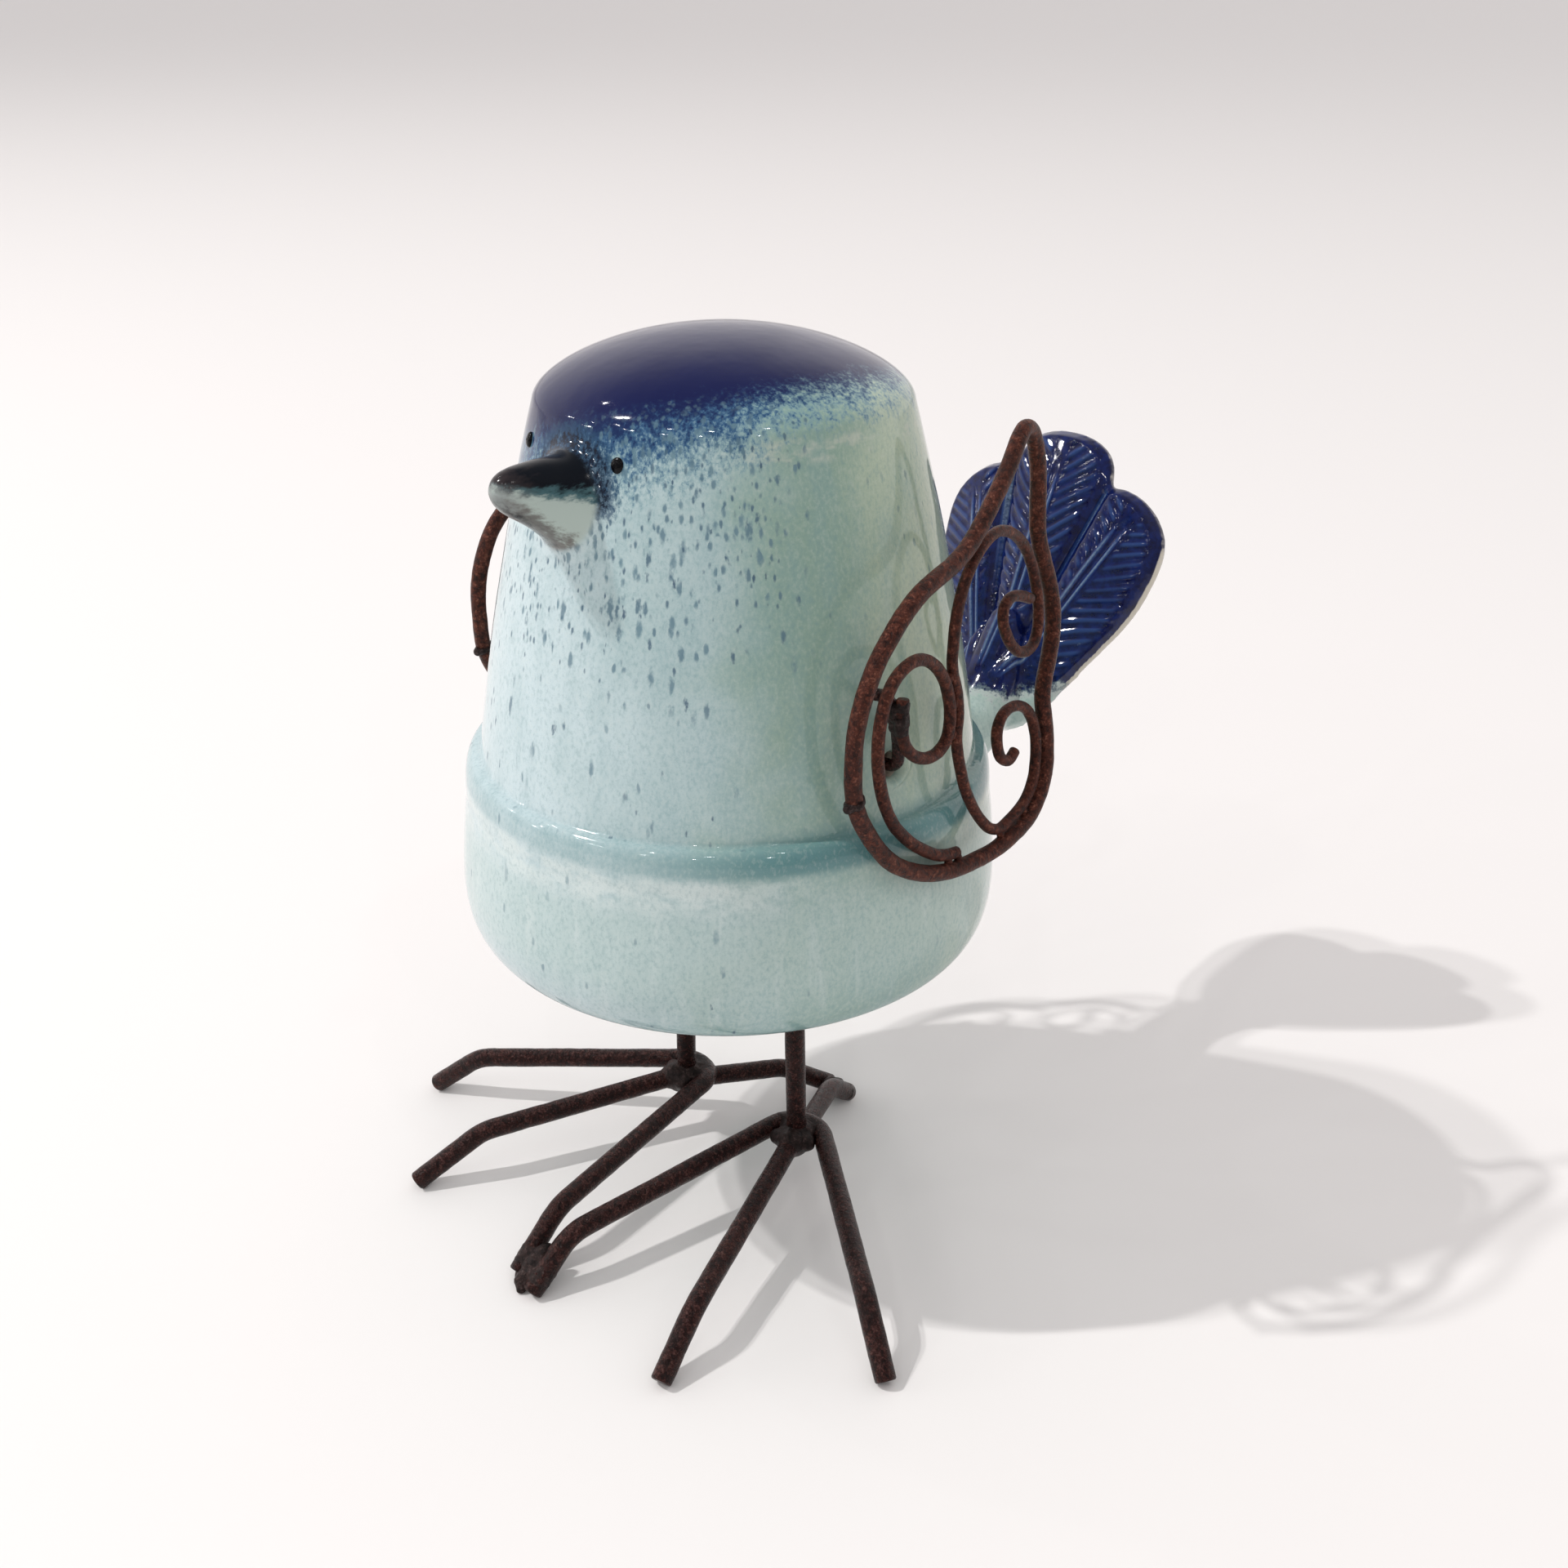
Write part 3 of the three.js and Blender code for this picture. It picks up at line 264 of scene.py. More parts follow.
# ------------------------------------------------------------------ ceramic glaze
def glaze_material():
    g = Nodes("reactive_glaze")
    # height above the tilted plane that the crown was dipped to
    dip = g.m("SUBTRACT", g.z, g.m("ADD", g.m("MULTIPLY_ADD", g.x, 0.2406, 242.0), g.m("MULTIPLY", g.y, -0.019)))
    rad = g.m("SQRT", g.m("ADD", g.m("MULTIPLY", g.x, g.x), g.m("MULTIPLY", g.y, g.y)))
    side = g.m("DIVIDE", g.m("ADD", g.m("MULTIPLY", g.x, 0.713), g.m("MULTIPLY", g.y, 0.701)), g.m("MAXIMUM", rad, 1.0))
    cloud = g.noise(g.pos, 0.045, 3.0, 0.5)
    run = g.noise(g.scaled(1, 1, 0.22), 0.13, 3.0, 0.5)
    grain = g.noise(g.scaled(1, 1, 0.7), 1.0, 3.0, 0.6)
    fine = g.noise(g.pos, 2.6, 2.0, 0.6)
    # body colour: pale blue-green round the front, greener round the left flank; the left flank faces away from the key
    # lamps, and its darker green is painted shade over the glaze's own greener tone, with a paler strip at its far edge
    # that is a painted reflection of the wall
    t = g.m("ADD", side, g.m("MULTIPLY", g.m("SUBTRACT", cloud, 0.5), 0.7))
    aqua = g.mix(g.step(t, -0.85, -0.10), (0.54, 0.655, 0.685), (0.395, 0.515, 0.525))
    aqua = g.mix(g.step(t, -0.15, 0.40), aqua, (0.255, 0.375, 0.310))
    aqua = g.mix(g.step(t, 0.42, 0.90), aqua, (0.440, 0.530, 0.400))
    # darker low down on the left flank: painted shade
    low_painted_shade = g.m("MULTIPLY", g.step(g.z, 160, 126), g.step(side, -0.3, 0.5))
    aqua = g.mix(g.m("MULTIPLY", low_painted_shade, 0.45), aqua, (0.30, 0.43, 0.42))
    aqua = g.mix(g.m("MULTIPLY", g.step(run, 0.42, 0.66), 0.22), aqua, (0.24, 0.38, 0.40))
    # the rim band toned, then pale vertical streaks down the rim band only, painted reflections of the lamps
    runs = g.noise(g.scaled(1, 1, 0.12), 0.22, 3.0, 0.5)
    band = g.step(g.z, 136, 124)
    aqua = g.mix(g.m("MULTIPLY", g.m("MULTIPLY", band, g.step(g.z, 94, 112)), 0.55), aqua, (0.455, 0.570, 0.545))
    aqua = g.mix(g.m("MULTIPLY", g.m("MULTIPLY", g.step(runs, 0.54, 0.72), band), 0.24), aqua, (0.66, 0.73, 0.72))
    # glaze pooled dark in the crease, laid on more heavily on the left flank as painted shade on the side away from the
    # key lamps
    patch = g.noise(g.scaled(1, 1, 2.0), 0.10, 3.0, 0.6)
    crease = g.m("MULTIPLY", g.step(g.z, g.step(side, -0.1, 0.35, 147.2, 150.8), 143.2), g.step(g.z, 136.5, 140.5))
    aqua = g.mix(g.m("MULTIPLY", crease, g.step(side, -0.35, 0.30, 0.30, 0.92)), aqua, (0.085, 0.215, 0.225))
    # a patchy pale line on the shoulder below the crease: a painted highlight, strongest on the side facing the key
    # lamps
    shoulder_highlight = g.m("MULTIPLY", g.m("MULTIPLY", g.step(g.z, 125.5, 132.5), g.step(g.z, 140.0, 137.0)), g.step(side, 0.42, -0.05, 0.25, 1.0))
    aqua = g.mix(g.m("MULTIPLY", g.m("MULTIPLY", shoulder_highlight, g.step(patch, 0.30, 0.60)), 0.60), aqua, (0.66, 0.73, 0.71))
    # the glaze breaks pale over the corner of the crown on the left flank, and the pale line there also stands in for
    # glints along that corner, a painted highlight
    crown_break_and_glint = g.m("MULTIPLY", g.m("MULTIPLY", g.step(g.z, 233.5, 236.5), g.step(g.z, 241.5, 238.5)), g.step(side, -0.05, 0.35))
    aqua = g.mix(g.m("MULTIPLY", g.m("MULTIPLY", crown_break_and_glint, g.step(patch, 0.46, 0.66)), 0.50), aqua, (0.60, 0.61, 0.53))
    foot = g.step(g.z, 99, 90.5)
    aqua = g.mix(g.m("MULTIPLY", foot, 0.55), aqua, (0.19, 0.36, 0.37))
    brk = g.m("MULTIPLY", g.step(g.z, 91.5, 89.0), g.step(grain, 0.42, 0.66))
    aqua = g.mix(g.m("MULTIPLY", brk, 0.45), aqua, (0.52, 0.58, 0.52))
    # the mottled grain of the glaze
    aqua = g.mix(g.m("MULTIPLY", g.step(grain, 0.46, 0.72), 0.30), aqua, (0.16, 0.29, 0.31))
    aqua = g.mix(g.m("MULTIPLY", g.step(grain, 0.52, 0.30), 0.16), aqua, (0.60, 0.66, 0.62))
    aqua = g.mix(g.m("MULTIPLY", g.step(fine, 0.50, 0.78), 0.22), aqua, (0.17, 0.28, 0.29))
    # long specks that ran down the wall, densest under the crown and on the breast
    col = aqua
    specks = []
    layers = ((0.27, 0.30, 3.0, -112.0, 0.38, 0.84), (0.42, 0.33, 11.0, -96.0, 0.46, 1.06), (0.64, 0.42, 23.0, -74.0, 0.54, 1.25))
    for cell, stretch, seed, reach, size, most in layers:
        dist, pick, kind = g.voronoi(g.scaled(1, 1, stretch, (seed, seed * 2, seed)), cell)
        wob = g.m("MULTIPLY_ADD", g.noise(g.scaled(1, 1, 0.5), 1.3, 2.0), 0.40, -0.20)
        dens = g.m("MULTIPLY", g.step(dip, reach, -14.0, 0.05, most), g.step(side, 0.52, -0.04, 0.05, 1.0))
        dens = g.m("MULTIPLY", dens, g.step(cloud, 0.36, 0.60, 0.55, 1.15))
        on = g.step(g.m("SUBTRACT", dens, pick), -0.03, 0.06)
        spot = g.step(g.m("ADD", dist, wob), g.m("MULTIPLY_ADD", kind, size * 0.6, size * 0.40), g.m("MULTIPLY_ADD", kind, size * 0.35, size * 0.05))
        tint = g.mix(kind, (0.026, 0.066, 0.128), (0.120, 0.215, 0.265))
        specks.append((g.m("MULTIPLY", g.m("MULTIPLY", on, spot), 0.84), tint))
    # blue that thins out in dots and flecks below the crown
    f1 = g.noise(g.scaled(1, 1, 0.75), 0.95, 3.0, 0.68)
    f2 = g.noise(g.scaled(1, 1, 0.6), 0.34, 3.0, 0.6)
    f3 = g.noise(g.pos, 0.07, 2.0, 0.5)
    far = g.step(side, -0.3, 0.55, -30.0, -19.0)
    cover = g.m("SUBTRACT", 1.0, g.m("DIVIDE", dip, far), clamp=True)
    cover = g.m("MULTIPLY", g.m("POWER", cover, 1.40), g.step(side, -0.15, 0.65, 1.36, 0.86))
    level = g.m("ADD", cover, g.m("MULTIPLY_ADD", f1, 1.6, -0.80))
    level = g.m("ADD", level, g.m("MULTIPLY_ADD", f2, 0.8, -0.40))
    level = g.m("ADD", level, g.m("MULTIPLY_ADD", f3, 0.5, -0.25))
    fade = g.step(cover, 0.0, 0.26)
    col = g.mix(g.m("MULTIPLY", g.step(level, 0.18, 0.62), g.m("MULTIPLY", fade, 0.80)), col, (0.175, 0.300, 0.350))
    col = g.mix(g.m("MULTIPLY", g.step(level, 0.44, 0.90), g.m("MULTIPLY", fade, 0.92)), col, (0.023, 0.088, 0.195))
    col = g.mix(g.m("MULTIPLY", g.step(level, 0.76, 1.22), fade), col, (0.009, 0.030, 0.100))
    for amount, tint in specks:
        col = g.mix(amount, col, tint)
    # navy crown, its lower edge soft
    navy = g.step(g.m("ADD", dip, g.m("MULTIPLY_ADD", g.m("ADD", g.m("MULTIPLY", f1, 0.5), g.m("MULTIPLY", f2, 0.5)), 14.0, -7.0)), -6.5, 1.8)
    col = g.mix(navy, col, g.mix(cloud, (0.0026, 0.0050, 0.046), (0.0058, 0.0100, 0.068)))
    # a dark halo of glaze where the beak joins the face
    brow = g.attr("brow")
    bl = g.m("ADD", brow, g.m("MULTIPLY_ADD", f1, 1.3, -0.65))
    col = g.mix(g.m("MULTIPLY", g.step(bl, 0.40, 0.85), 0.80), col, (0.018, 0.060, 0.125))
    col = g.mix(g.m("MULTIPLY", g.step(bl, 0.80, 1.15), 0.95), col, (0.0025, 0.006, 0.018))
    # beak: dark ridge, pale cheeks, brown-grey underside, paler worn tip
    bk = g.attr("beak")
    hz = g.attr("beak_up")
    bt = g.attr("beak_t")
    wv = g.noise(g.scaled(1.0, 0.30, 1.0), 0.62, 4.0, 0.62)
    hh = g.m("MULTIPLY_ADD", g.m("SUBTRACT", wv, 0.5), 0.85, hz)
    root = g.m("MULTIPLY_ADD", g.step(bt, 0.92, 0.50), 0.36, hh)
    bc = g.mix(g.step(root, -1.00, -0.52), (0.026, 0.020, 0.021), (0.160, 0.158, 0.146))
    bc = g.mix(g.step(root, -0.56, -0.24), bc, (0.42, 0.50, 0.46))
    bc = g.mix(g.step(hh, -0.02, 0.24), bc, (0.060, 0.130, 0.145))
    bc = g.mix(g.step(hh, 0.22, 0.50), bc, (0.0018, 0.0038, 0.0075))
    tipc = g.mix(g.step(hh, -0.3, 0.6), (0.26, 0.29, 0.285), (0.034, 0.026, 0.028))
    bc = g.mix(g.m("MULTIPLY", g.step(g.m("MULTIPLY_ADD", g.m("SUBTRACT", wv, 0.5), 0.5, bt), 0.74, 1.02), 0.85), bc, tipc)
    col = g.mix(bk, col, bc)
    # tail: cobalt, paler where the glaze breaks over ridges, cream along the edge
    tl = g.attr("tail")
    re = g.attr("relief")
    tn = g.noise(g.pos, 0.35, 3.0, 0.6)
    cob = g.mix(g.step(tn, 0.32, 0.70), (0.0013, 0.0028, 0.034), (0.0032, 0.0115, 0.088))
    cob = g.mix(g.step(re, 0.12, 0.55), cob, (0.017, 0.044, 0.158))
    cob = g.mix(g.m("MULTIPLY", g.step(g.m("MULTIPLY_ADD", g.m("SUBTRACT", f1, 0.5), 0.6, re), 0.55, 1.05), 0.85), cob, (0.150, 0.215, 0.310))
    ed = g.attr("rim")
    cob = g.mix(g.m("MULTIPLY", g.step(g.m("ADD", ed, g.m("MULTIPLY_ADD", tn, 0.5, -0.25)), 0.35, 0.75), 0.96), cob, (0.62, 0.58, 0.49))
    streak = g.noise(g.scaled(0.35, 1, 1), 0.30, 3.0, 0.6)
    tk = g.m("ADD", tl, g.m("ADD", g.m("MULTIPLY_ADD", f1, 0.8, -0.40), g.m("MULTIPLY_ADD", streak, 1.3, -0.65)))
    tk = g.m("MULTIPLY", tk, g.step(tl, 0.0, 0.06))
    col = g.mix(g.m("MULTIPLY", g.step(tk, 0.10, 0.34), 0.75), col, (0.50, 0.54, 0.53))
    col = g.mix(g.m("MULTIPLY", g.step(tk, 0.30, 0.52), 0.85), col, (0.085, 0.135, 0.175))
    col = g.mix(g.step(tk, 0.42, 0.74), col, cob)
    g.put(g.bsdf.inputs["Base Color"], col)
    g.put(g.bsdf.inputs["Roughness"], g.m("MULTIPLY_ADD", bk, 0.10, g.step(fine, 0.3, 0.8, 0.05, 0.11)))
    g.put(g.bsdf.inputs["Specular IOR Level"], g.m("SUBTRACT", g.m("MULTIPLY_ADD", bk, -0.26, 0.5), g.m("MULTIPLY", navy, 0.16)))
    g.bsdf.inputs["IOR"].default_value = 1.5
    skin = g.m("ADD", g.m("MULTIPLY", g.noise(g.pos, 0.11, 2.0, 0.5), 1.0), g.m("MULTIPLY", fine, 0.015))
    g.bump(skin, 0.00022, 0.6)
    return g.mat


def bare_clay():
    g = Nodes("bare_clay")
    n1 = g.noise(g.pos, 0.5, 4.0, 0.6)
    n2 = g.noise(g.pos, 3.0, 3.0, 0.6)
    c = g.mix(g.step(n1, 0.35, 0.7), (0.52, 0.45, 0.36), (0.66, 0.60, 0.50))
    c = g.mix(g.m("MULTIPLY", g.step(n2, 0.5, 0.75), 0.4), c, (0.34, 0.28, 0.21))
    g.put(g.bsdf.inputs["Base Color"], c)
    g.bsdf.inputs["Roughness"].default_value = 0.85
    g.bump(n2, 0.0004, 0.6)
    return g.mat


def iron(name, dark, mid, light, rough, stretch=(1, 1, 1)):
    g = Nodes(name)
    big = g.noise(g.pos, 0.09, 4.0, 0.6)
    mot = g.noise(g.scaled(*stretch), 0.62, 6.0, 0.70, 0.4)
    fine = g.noise(g.pos, 1.7, 3.0, 0.7)
    c = g.mix(g.step(mot, 0.36, 0.60), dark, mid)
    c = g.mix(g.m("MULTIPLY", g.step(g.m("ADD", g.m("MULTIPLY", fine, 0.5), g.m("MULTIPLY", mot, 0.5)), 0.52, 0.66), 0.80), c, light)
    c = g.mix(g.m("MULTIPLY", g.step(fine, 0.46, 0.30), 0.65), c, dark)
    c = g.mix(g.m("MULTIPLY", g.step(big, 0.50, 0.68), 0.45), c, dark)
    g.put(g.bsdf.inputs["Base Color"], c)
    g.put(g.bsdf.inputs["Roughness"], g.step(g.m("ADD", g.m("MULTIPLY", mot, 0.5), g.m("MULTIPLY", fine, 0.5)), 0.34, 0.66, rough - 0.15, rough + 0.15))
    g.bsdf.inputs["Metallic"].default_value = 0.35
    g.bsdf.inputs["Specular IOR Level"].default_value = 0.28
    h = g.m("ADD", g.m("MULTIPLY", mot, 1.0), g.m("MULTIPLY", fine, 0.40))
    g.bump(h, 0.0006, 0.9)
    return g.mat


def plated(name, base, rough):
    g = Nodes(name)
    n = g.noise(g.pos, 0.8, 3.0, 0.6)
    f = g.noise(g.scaled(1, 1, 6), 2.0, 2.0, 0.6)
    c = g.mix(g.step(n, 0.35, 0.7), base, tuple(v * 0.7 for v in base))
    g.put(g.bsdf.inputs["Base Color"], c)
    g.put(g.bsdf.inputs["Roughness"], g.step(n, 0.3, 0.7, rough - 0.08, rough + 0.1))
    g.bsdf.inputs["Metallic"].default_value = 0.9
    g.bump(f, 0.00008, 0.5)
    return g.mat


def rubber():
    g = Nodes("soft_washer")
    n = g.noise(g.pos, 1.6, 4.0, 0.6)
    g.put(g.bsdf.inputs["Base Color"], g.mix(n, (0.012, 0.012, 0.012), (0.045, 0.043, 0.04)))
    g.put(g.bsdf.inputs["Roughness"], g.step(n, 0.3, 0.7, 0.7, 0.95))
    g.bump(n, 0.0001, 0.5)
    return g.mat


# ------------------------------------------------------------------ ceramic geometry
def bezier(pts, n):
    p = np.array(pts, float)
    t = np.linspace(0, 1, n + 1)[:, None]
    if len(p) == 4:
        return (1 - t) ** 3 * p[0] + 3 * (1 - t) ** 2 * t * p[1] + 3 * (1 - t) * t * t * p[2] + t ** 3 * p[3]
    return (1 - t) ** 2 * p[0] + 2 * (1 - t) * t * p[1] + t * t * p[2]


crown, waist, shoulder = np.array([48.57, 240.56]), np.array([68.06, 145.44]), np.array([72.75, 134.34])
slope = (waist - crown) / np.linalg.norm(waist - crown)
OUTER = np.vstack([
    bezier([(0, BODY_TOP), (25.7, BODY_TOP), crown - 7.39 * slope, crown], 60),
    bezier([crown, (crown + waist) / 2 + (3.2, 0), waist], 60)[1:],
    bezier([waist, (72.75, 146.82), shoulder], 24)[1:],
    bezier([shoulder, (77.55, 96.5), (77.55, 88.03), (46.66, BODY_BOTTOM + 0.03)], 80)[1:],
    [(30, BODY_BOTTOM + 0.02), (14.0, BODY_BOTTOM)],
])
SEG_A, SEG_B = OUTER[:-1], OUTER[1:]


def profile_hit(v):
    """Nearest point of the outer outline to each vertex: its radius, its height, and the signed distance."""
    r = np.hypot(v[:, 0], v[:, 1])
    q = np.c_[r, v[:, 2]]
    best = np.full(len(v), 1e9)
    near = np.zeros((len(v), 2))
    sign = np.ones(len(v))
    for a, b in zip(SEG_A, SEG_B):
        ab = b - a
        t = np.clip(((q - a) @ ab) / (ab @ ab), 0, 1)
        c = a + t[:, None] * ab
        d = np.linalg.norm(q - c, axis=1)
        k = d < best
        best[k] = d[k]
        near[k] = c[k]
        out = np.array([-ab[1], ab[0]])          # outline runs from crown down, outside is to its left
        sign[k] = np.sign((q[k] - c[k]) @ out)
    return r, near, best * sign


def wobble(theta, z):
    return (0.22 * np.sin(2 * theta + 0.8) + 0.13 * np.sin(3 * theta + 2.1 + z / 45.0)
            + 0.07 * np.sin(5 * theta + 0.3 - z / 22.0) + 0.06 * np.sin(z / 6.5 + 2 * np.sin(theta)))


def loft(rings, cap=True):
    """Closed solid through rings of equal point count."""
    n = len(rings[0])
    v = np.vstack(rings)
    f = []
    for i in range(len(rings) - 1):
        for j in range(n):
            k = (j + 1) % n
            f.append((i * n + j, i * n + k, (i + 1) * n + k, (i + 1) * n + j))
    if cap:
        c0, c1 = len(v), len(v) + 1
        v = np.vstack([v, rings[0].mean(0), rings[-1].mean(0)])
        last = (len(rings) - 1) * n
        for j in range(n):
            k = (j + 1) % n
            f.append((c0, k, j))
            f.append((c1, last + j, last + k))
    return v, f


def spline(points, step):
    """Centripetal curve through points, resampled at equal steps."""
    p = np.array(points, float)
    p = np.vstack([2 * p[0] - p[1], p, 2 * p[-1] - p[-2]])
    out = []
    for i in range(1, len(p) - 2):
        a, b, c, d = p[i - 1], p[i], p[i + 1], p[i + 2]
        t0 = 0.0
        t1 = t0 + max(np.linalg.norm(b - a), 1e-6) ** 0.5
        t2 = t1 + max(np.linalg.norm(c - b), 1e-6) ** 0.5
        t3 = t2 + max(np.linalg.norm(d - c), 1e-6) ** 0.5
        for t in np.linspace(t1, t2, 13)[:-1]:
            a1 = (t1 - t) / (t1 - t0) * a + (t - t0) / (t1 - t0) * b
            a2 = (t2 - t) / (t2 - t1) * b + (t - t1) / (t2 - t1) * c
            a3 = (t3 - t) / (t3 - t2) * c + (t - t2) / (t3 - t2) * d
            b1 = (t2 - t) / (t2 - t0) * a1 + (t - t0) / (t2 - t0) * a2
            b2 = (t3 - t) / (t3 - t1) * a2 + (t - t1) / (t3 - t1) * a3
            out.append((t2 - t) / (t2 - t1) * b1 + (t - t1) / (t2 - t1) * b2)
    out.append(p[-2])
    return resample(np.array(out), step)


def resample(q, step):
    length = np.r_[0, np.cumsum(np.linalg.norm(np.diff(q, axis=0), axis=1))]
    n = max(int(round(length[-1] / step)), 2)
    s = np.linspace(0, length[-1], n + 1)
    return np.array([np.interp(s, length, q[:, k]) for k in range(q.shape[1])]).T


def frames(c):
    t = np.gradient(c, axis=0)
    t /= np.linalg.norm(t, axis=1)[:, None]
    n = np.array([0.0, 0.0, 1.0]) if abs(t[0][2]) < 0.9 else np.array([1.0, 0.0, 0.0])
    ns = []
    for k in t:
        n = n - k * (n @ k)
        n /= np.linalg.norm(n)
        ns.append(n.copy())
    ns = np.array(ns)
    return t, ns, np.cross(t, ns)


def beak_solid():
    a, b = np.array([0, -40, 219.5]), np.array([0, -74.1, 230.4])
    prof = np.array([(0.0, 14.2), (0.20, 14.0), (0.27, 13.6), (0.33, 12.7), (0.40, 11.3), (0.48, 9.8), (0.57, 8.35), (0.66, 7.3), (0.75, 6.45), (0.82, 5.8), (0.88, 5.05), (0.925, 4.2), (0.957, 3.3), (0.98, 2.3), (0.993, 1.3), (1.0, 0.2)])
    ts = np.r_[np.linspace(0, 0.85, 40), np.linspace(0.86, 1.0, 30)]
    up = np.cross(b - a, [1, 0, 0])
    up = -up / np.linalg.norm(up) if up[2] < 0 else up / np.linalg.norm(up)
    rings = []
    for t in ts:
        r = np.interp(t, prof[:, 0], prof[:, 1])
        c = a + (b - a) * t
        th = np.linspace(0, 2 * np.pi, 49)[:-1]
        # a ridge above, a fuller belly below
        rr = r * (1 + 0.04 * np.cos(2 * th)) + 0.8 * math.exp(-((t - 0.64) / 0.17) ** 2) * np.maximum(np.cos(th), 0) ** 2
        rings.append(c + np.outer(rr * np.cos(th), up) + np.outer(rr * np.sin(th), [1, 0, 0]))
    return loft(rings)


along = np.array([0, math.cos(TILT), math.sin(TILT)])
front = np.array([0, -math.sin(TILT), math.cos(TILT)])
half = np.array(TAIL_HALF, float)
h_phi = np.arctan2(half[:, 0], half[:, 1] - APEX_S)
h_r = np.hypot(half[:, 0], half[:, 1] - APEX_S)
NOTCH = math.atan2(19.2, -14.4 - APEX_S)


def edge_distance(x, s):
    q = np.c_[np.abs(x), s]
    best = np.full(len(q), 1e9)
    for a, b in zip(half[:-1], half[1:]):
        ab = b - a
        t = np.clip(((q - a) @ ab) / (ab @ ab), 0, 1)
        best = np.minimum(best, np.linalg.norm(q - (a + t[:, None] * ab), axis=1))
    return best


def feather(x, s):
    """Height of the front face above the bowed plane, and how far the glaze breaks pale there (0..1)."""
    phi = np.arctan2(np.abs(x), s - APEX_S)
    r = np.hypot(x, s - APEX_S)
    reach = np.interp(phi, h_phi, h_r)
    outer_phi = np.interp(r, h_r[::-1][:20], h_phi[::-1][:20])
    side = phi > NOTCH
    axis = np.where(side, 0.372, 0.0)
    u = r * np.sin(phi - axis) * np.where(side, 1.0, np.where(x >= 0, 1.0, -1.0))
    v = r * np.cos(phi - axis)
    grow = smoothstep(12, 62, r)
    valley = r * np.sin(phi - NOTCH)
    # pillow of each feather, dropping into the valleys
    h = -2.3 * np.exp(-np.abs(valley / 1.9) ** 1.5) * smoothstep(14, 40, r)
    w_in = r * math.sin(NOTCH)
    pil = np.where(side, 1 - np.clip(u / np.maximum(r * 0.30, 4), -1, 1) ** 2, 1 - np.clip(u / np.maximum(w_in, 3), -1, 1) ** 2)
    h = h + 1.9 * pil * grow
    # double midrib
    rib_end = np.where(side, 84.0, 90.0)
    live = smoothstep(16, 26, v) * smoothstep(rib_end, rib_end - 14, v)
    gap = 1.55 * (0.55 + 0.45 * smoothstep(20, 70, v))
    ribs = np.exp(-((np.abs(u) - gap) / 0.60) ** 2)
    groove = np.exp(-(u / 0.8) ** 2)
    h = h + live * (0.40 * ribs - 0.42 * groove)
    # barbs sweep up and out from the midrib
    ph = (v - 0.52 * np.abs(u) - 0.018 * u * u + 0.5 * np.sin(v / 4.3) + 0.3 * np.sin(u / 2.1)) / 4.3
    wave = 0.5 + 0.5 * np.cos(2 * np.pi * ph)
    near = smoothstep(2.2, 4.4, np.abs(u)) * smoothstep(1.8, 5.0, np.abs(valley)) * smoothstep(18, 36, r) * smoothstep(1.5, 5.0, edge_distance(x, s))
    barbs = wave ** 1.25
    depth = 0.82 + 0.18 * np.sin(0.9 * ph + 1.7 * phi * 6 + np.where(x > 0, 0.0, 1.3))
    h = h + near * depth * (0.50 * barbs - 0.27)
    pale = np.maximum(live * ribs * 1.0, near * barbs * 0.54 * depth)
    pale = np.maximum(pale, 0.95 * np.exp(-((np.abs(valley) - 0.3) / 0.7) ** 2) * smoothstep(30, 80, r))
    return h, pale


def fan_faces(x, s):
    """Front and back heights of the tail plate before its rounded edge."""
    r = np.hypot(x, s - APEX_S)
    base = -BOW * x * x
    thick = 6.0 + 4.5 * smoothstep(42, 8, r)
    h, pale = feather(x, s)
    return base + h, base - thick + 0.35 * h * 0.5, pale


def fan_solid():
    phis = np.linspace(-h_phi[-1], h_phi[-1], 221)
    rs = np.r_[np.linspace(0.02, 0.9, 70), 0.9 + 0.1 * np.sin(np.linspace(0.02, 1, 16) * np.pi / 2)]
    grid_f, grid_b = [], []
    for p in phis:
        reach = np.interp(abs(p), h_phi, h_r)
        r = rs * reach
        x, s = r * np.sin(p), APEX_S + r * np.cos(p)
        nf, nb = -BOW * x * x + 0.0, -BOW * x * x - (6.0 + 4.5 * smoothstep(42, 8, r))
        e = edge_distance(x, s)
        k = np.sqrt(np.maximum(1 - (1 - np.clip(e / 2.9, 0, 1)) ** 2, 0))
        mid, hf = (nf + nb) / 2, (nf - nb) / 2 * k
        grid_f.append(TIP + np.outer(x, [1, 0, 0]) + np.outer(s, along) + np.outer(mid + hf, front))
        grid_b.append(TIP + np.outer(x, [1, 0, 0]) + np.outer(s, along) + np.outer(mid - hf, front))
    nr = len(rs)
    v = np.vstack(grid_f + grid_b)
    off = len(phis) * nr
    f = []
    for i in range(len(phis) - 1):
        for j in range(nr - 1):
            a, b, c, d = i * nr + j, i * nr + j + 1, (i + 1) * nr + j + 1, (i + 1) * nr + j
            f.append((a, d, c, b))
            f.append((off + a, off + b, off + c, off + d))
        a, d = i * nr + nr - 1, (i + 1) * nr + nr - 1
        f.append((a, d, off + d, off + a))
        a, d = i * nr, (i + 1) * nr
        f.append((a, off + a, off + d, d))
    for j in range(nr - 1):
        f.append((j, j + 1, off + j + 1, off + j))
        a = (len(phis) - 1) * nr
        f.append((a + j, off + a + j, off + a + j + 1, a + j + 1))
    return v, f


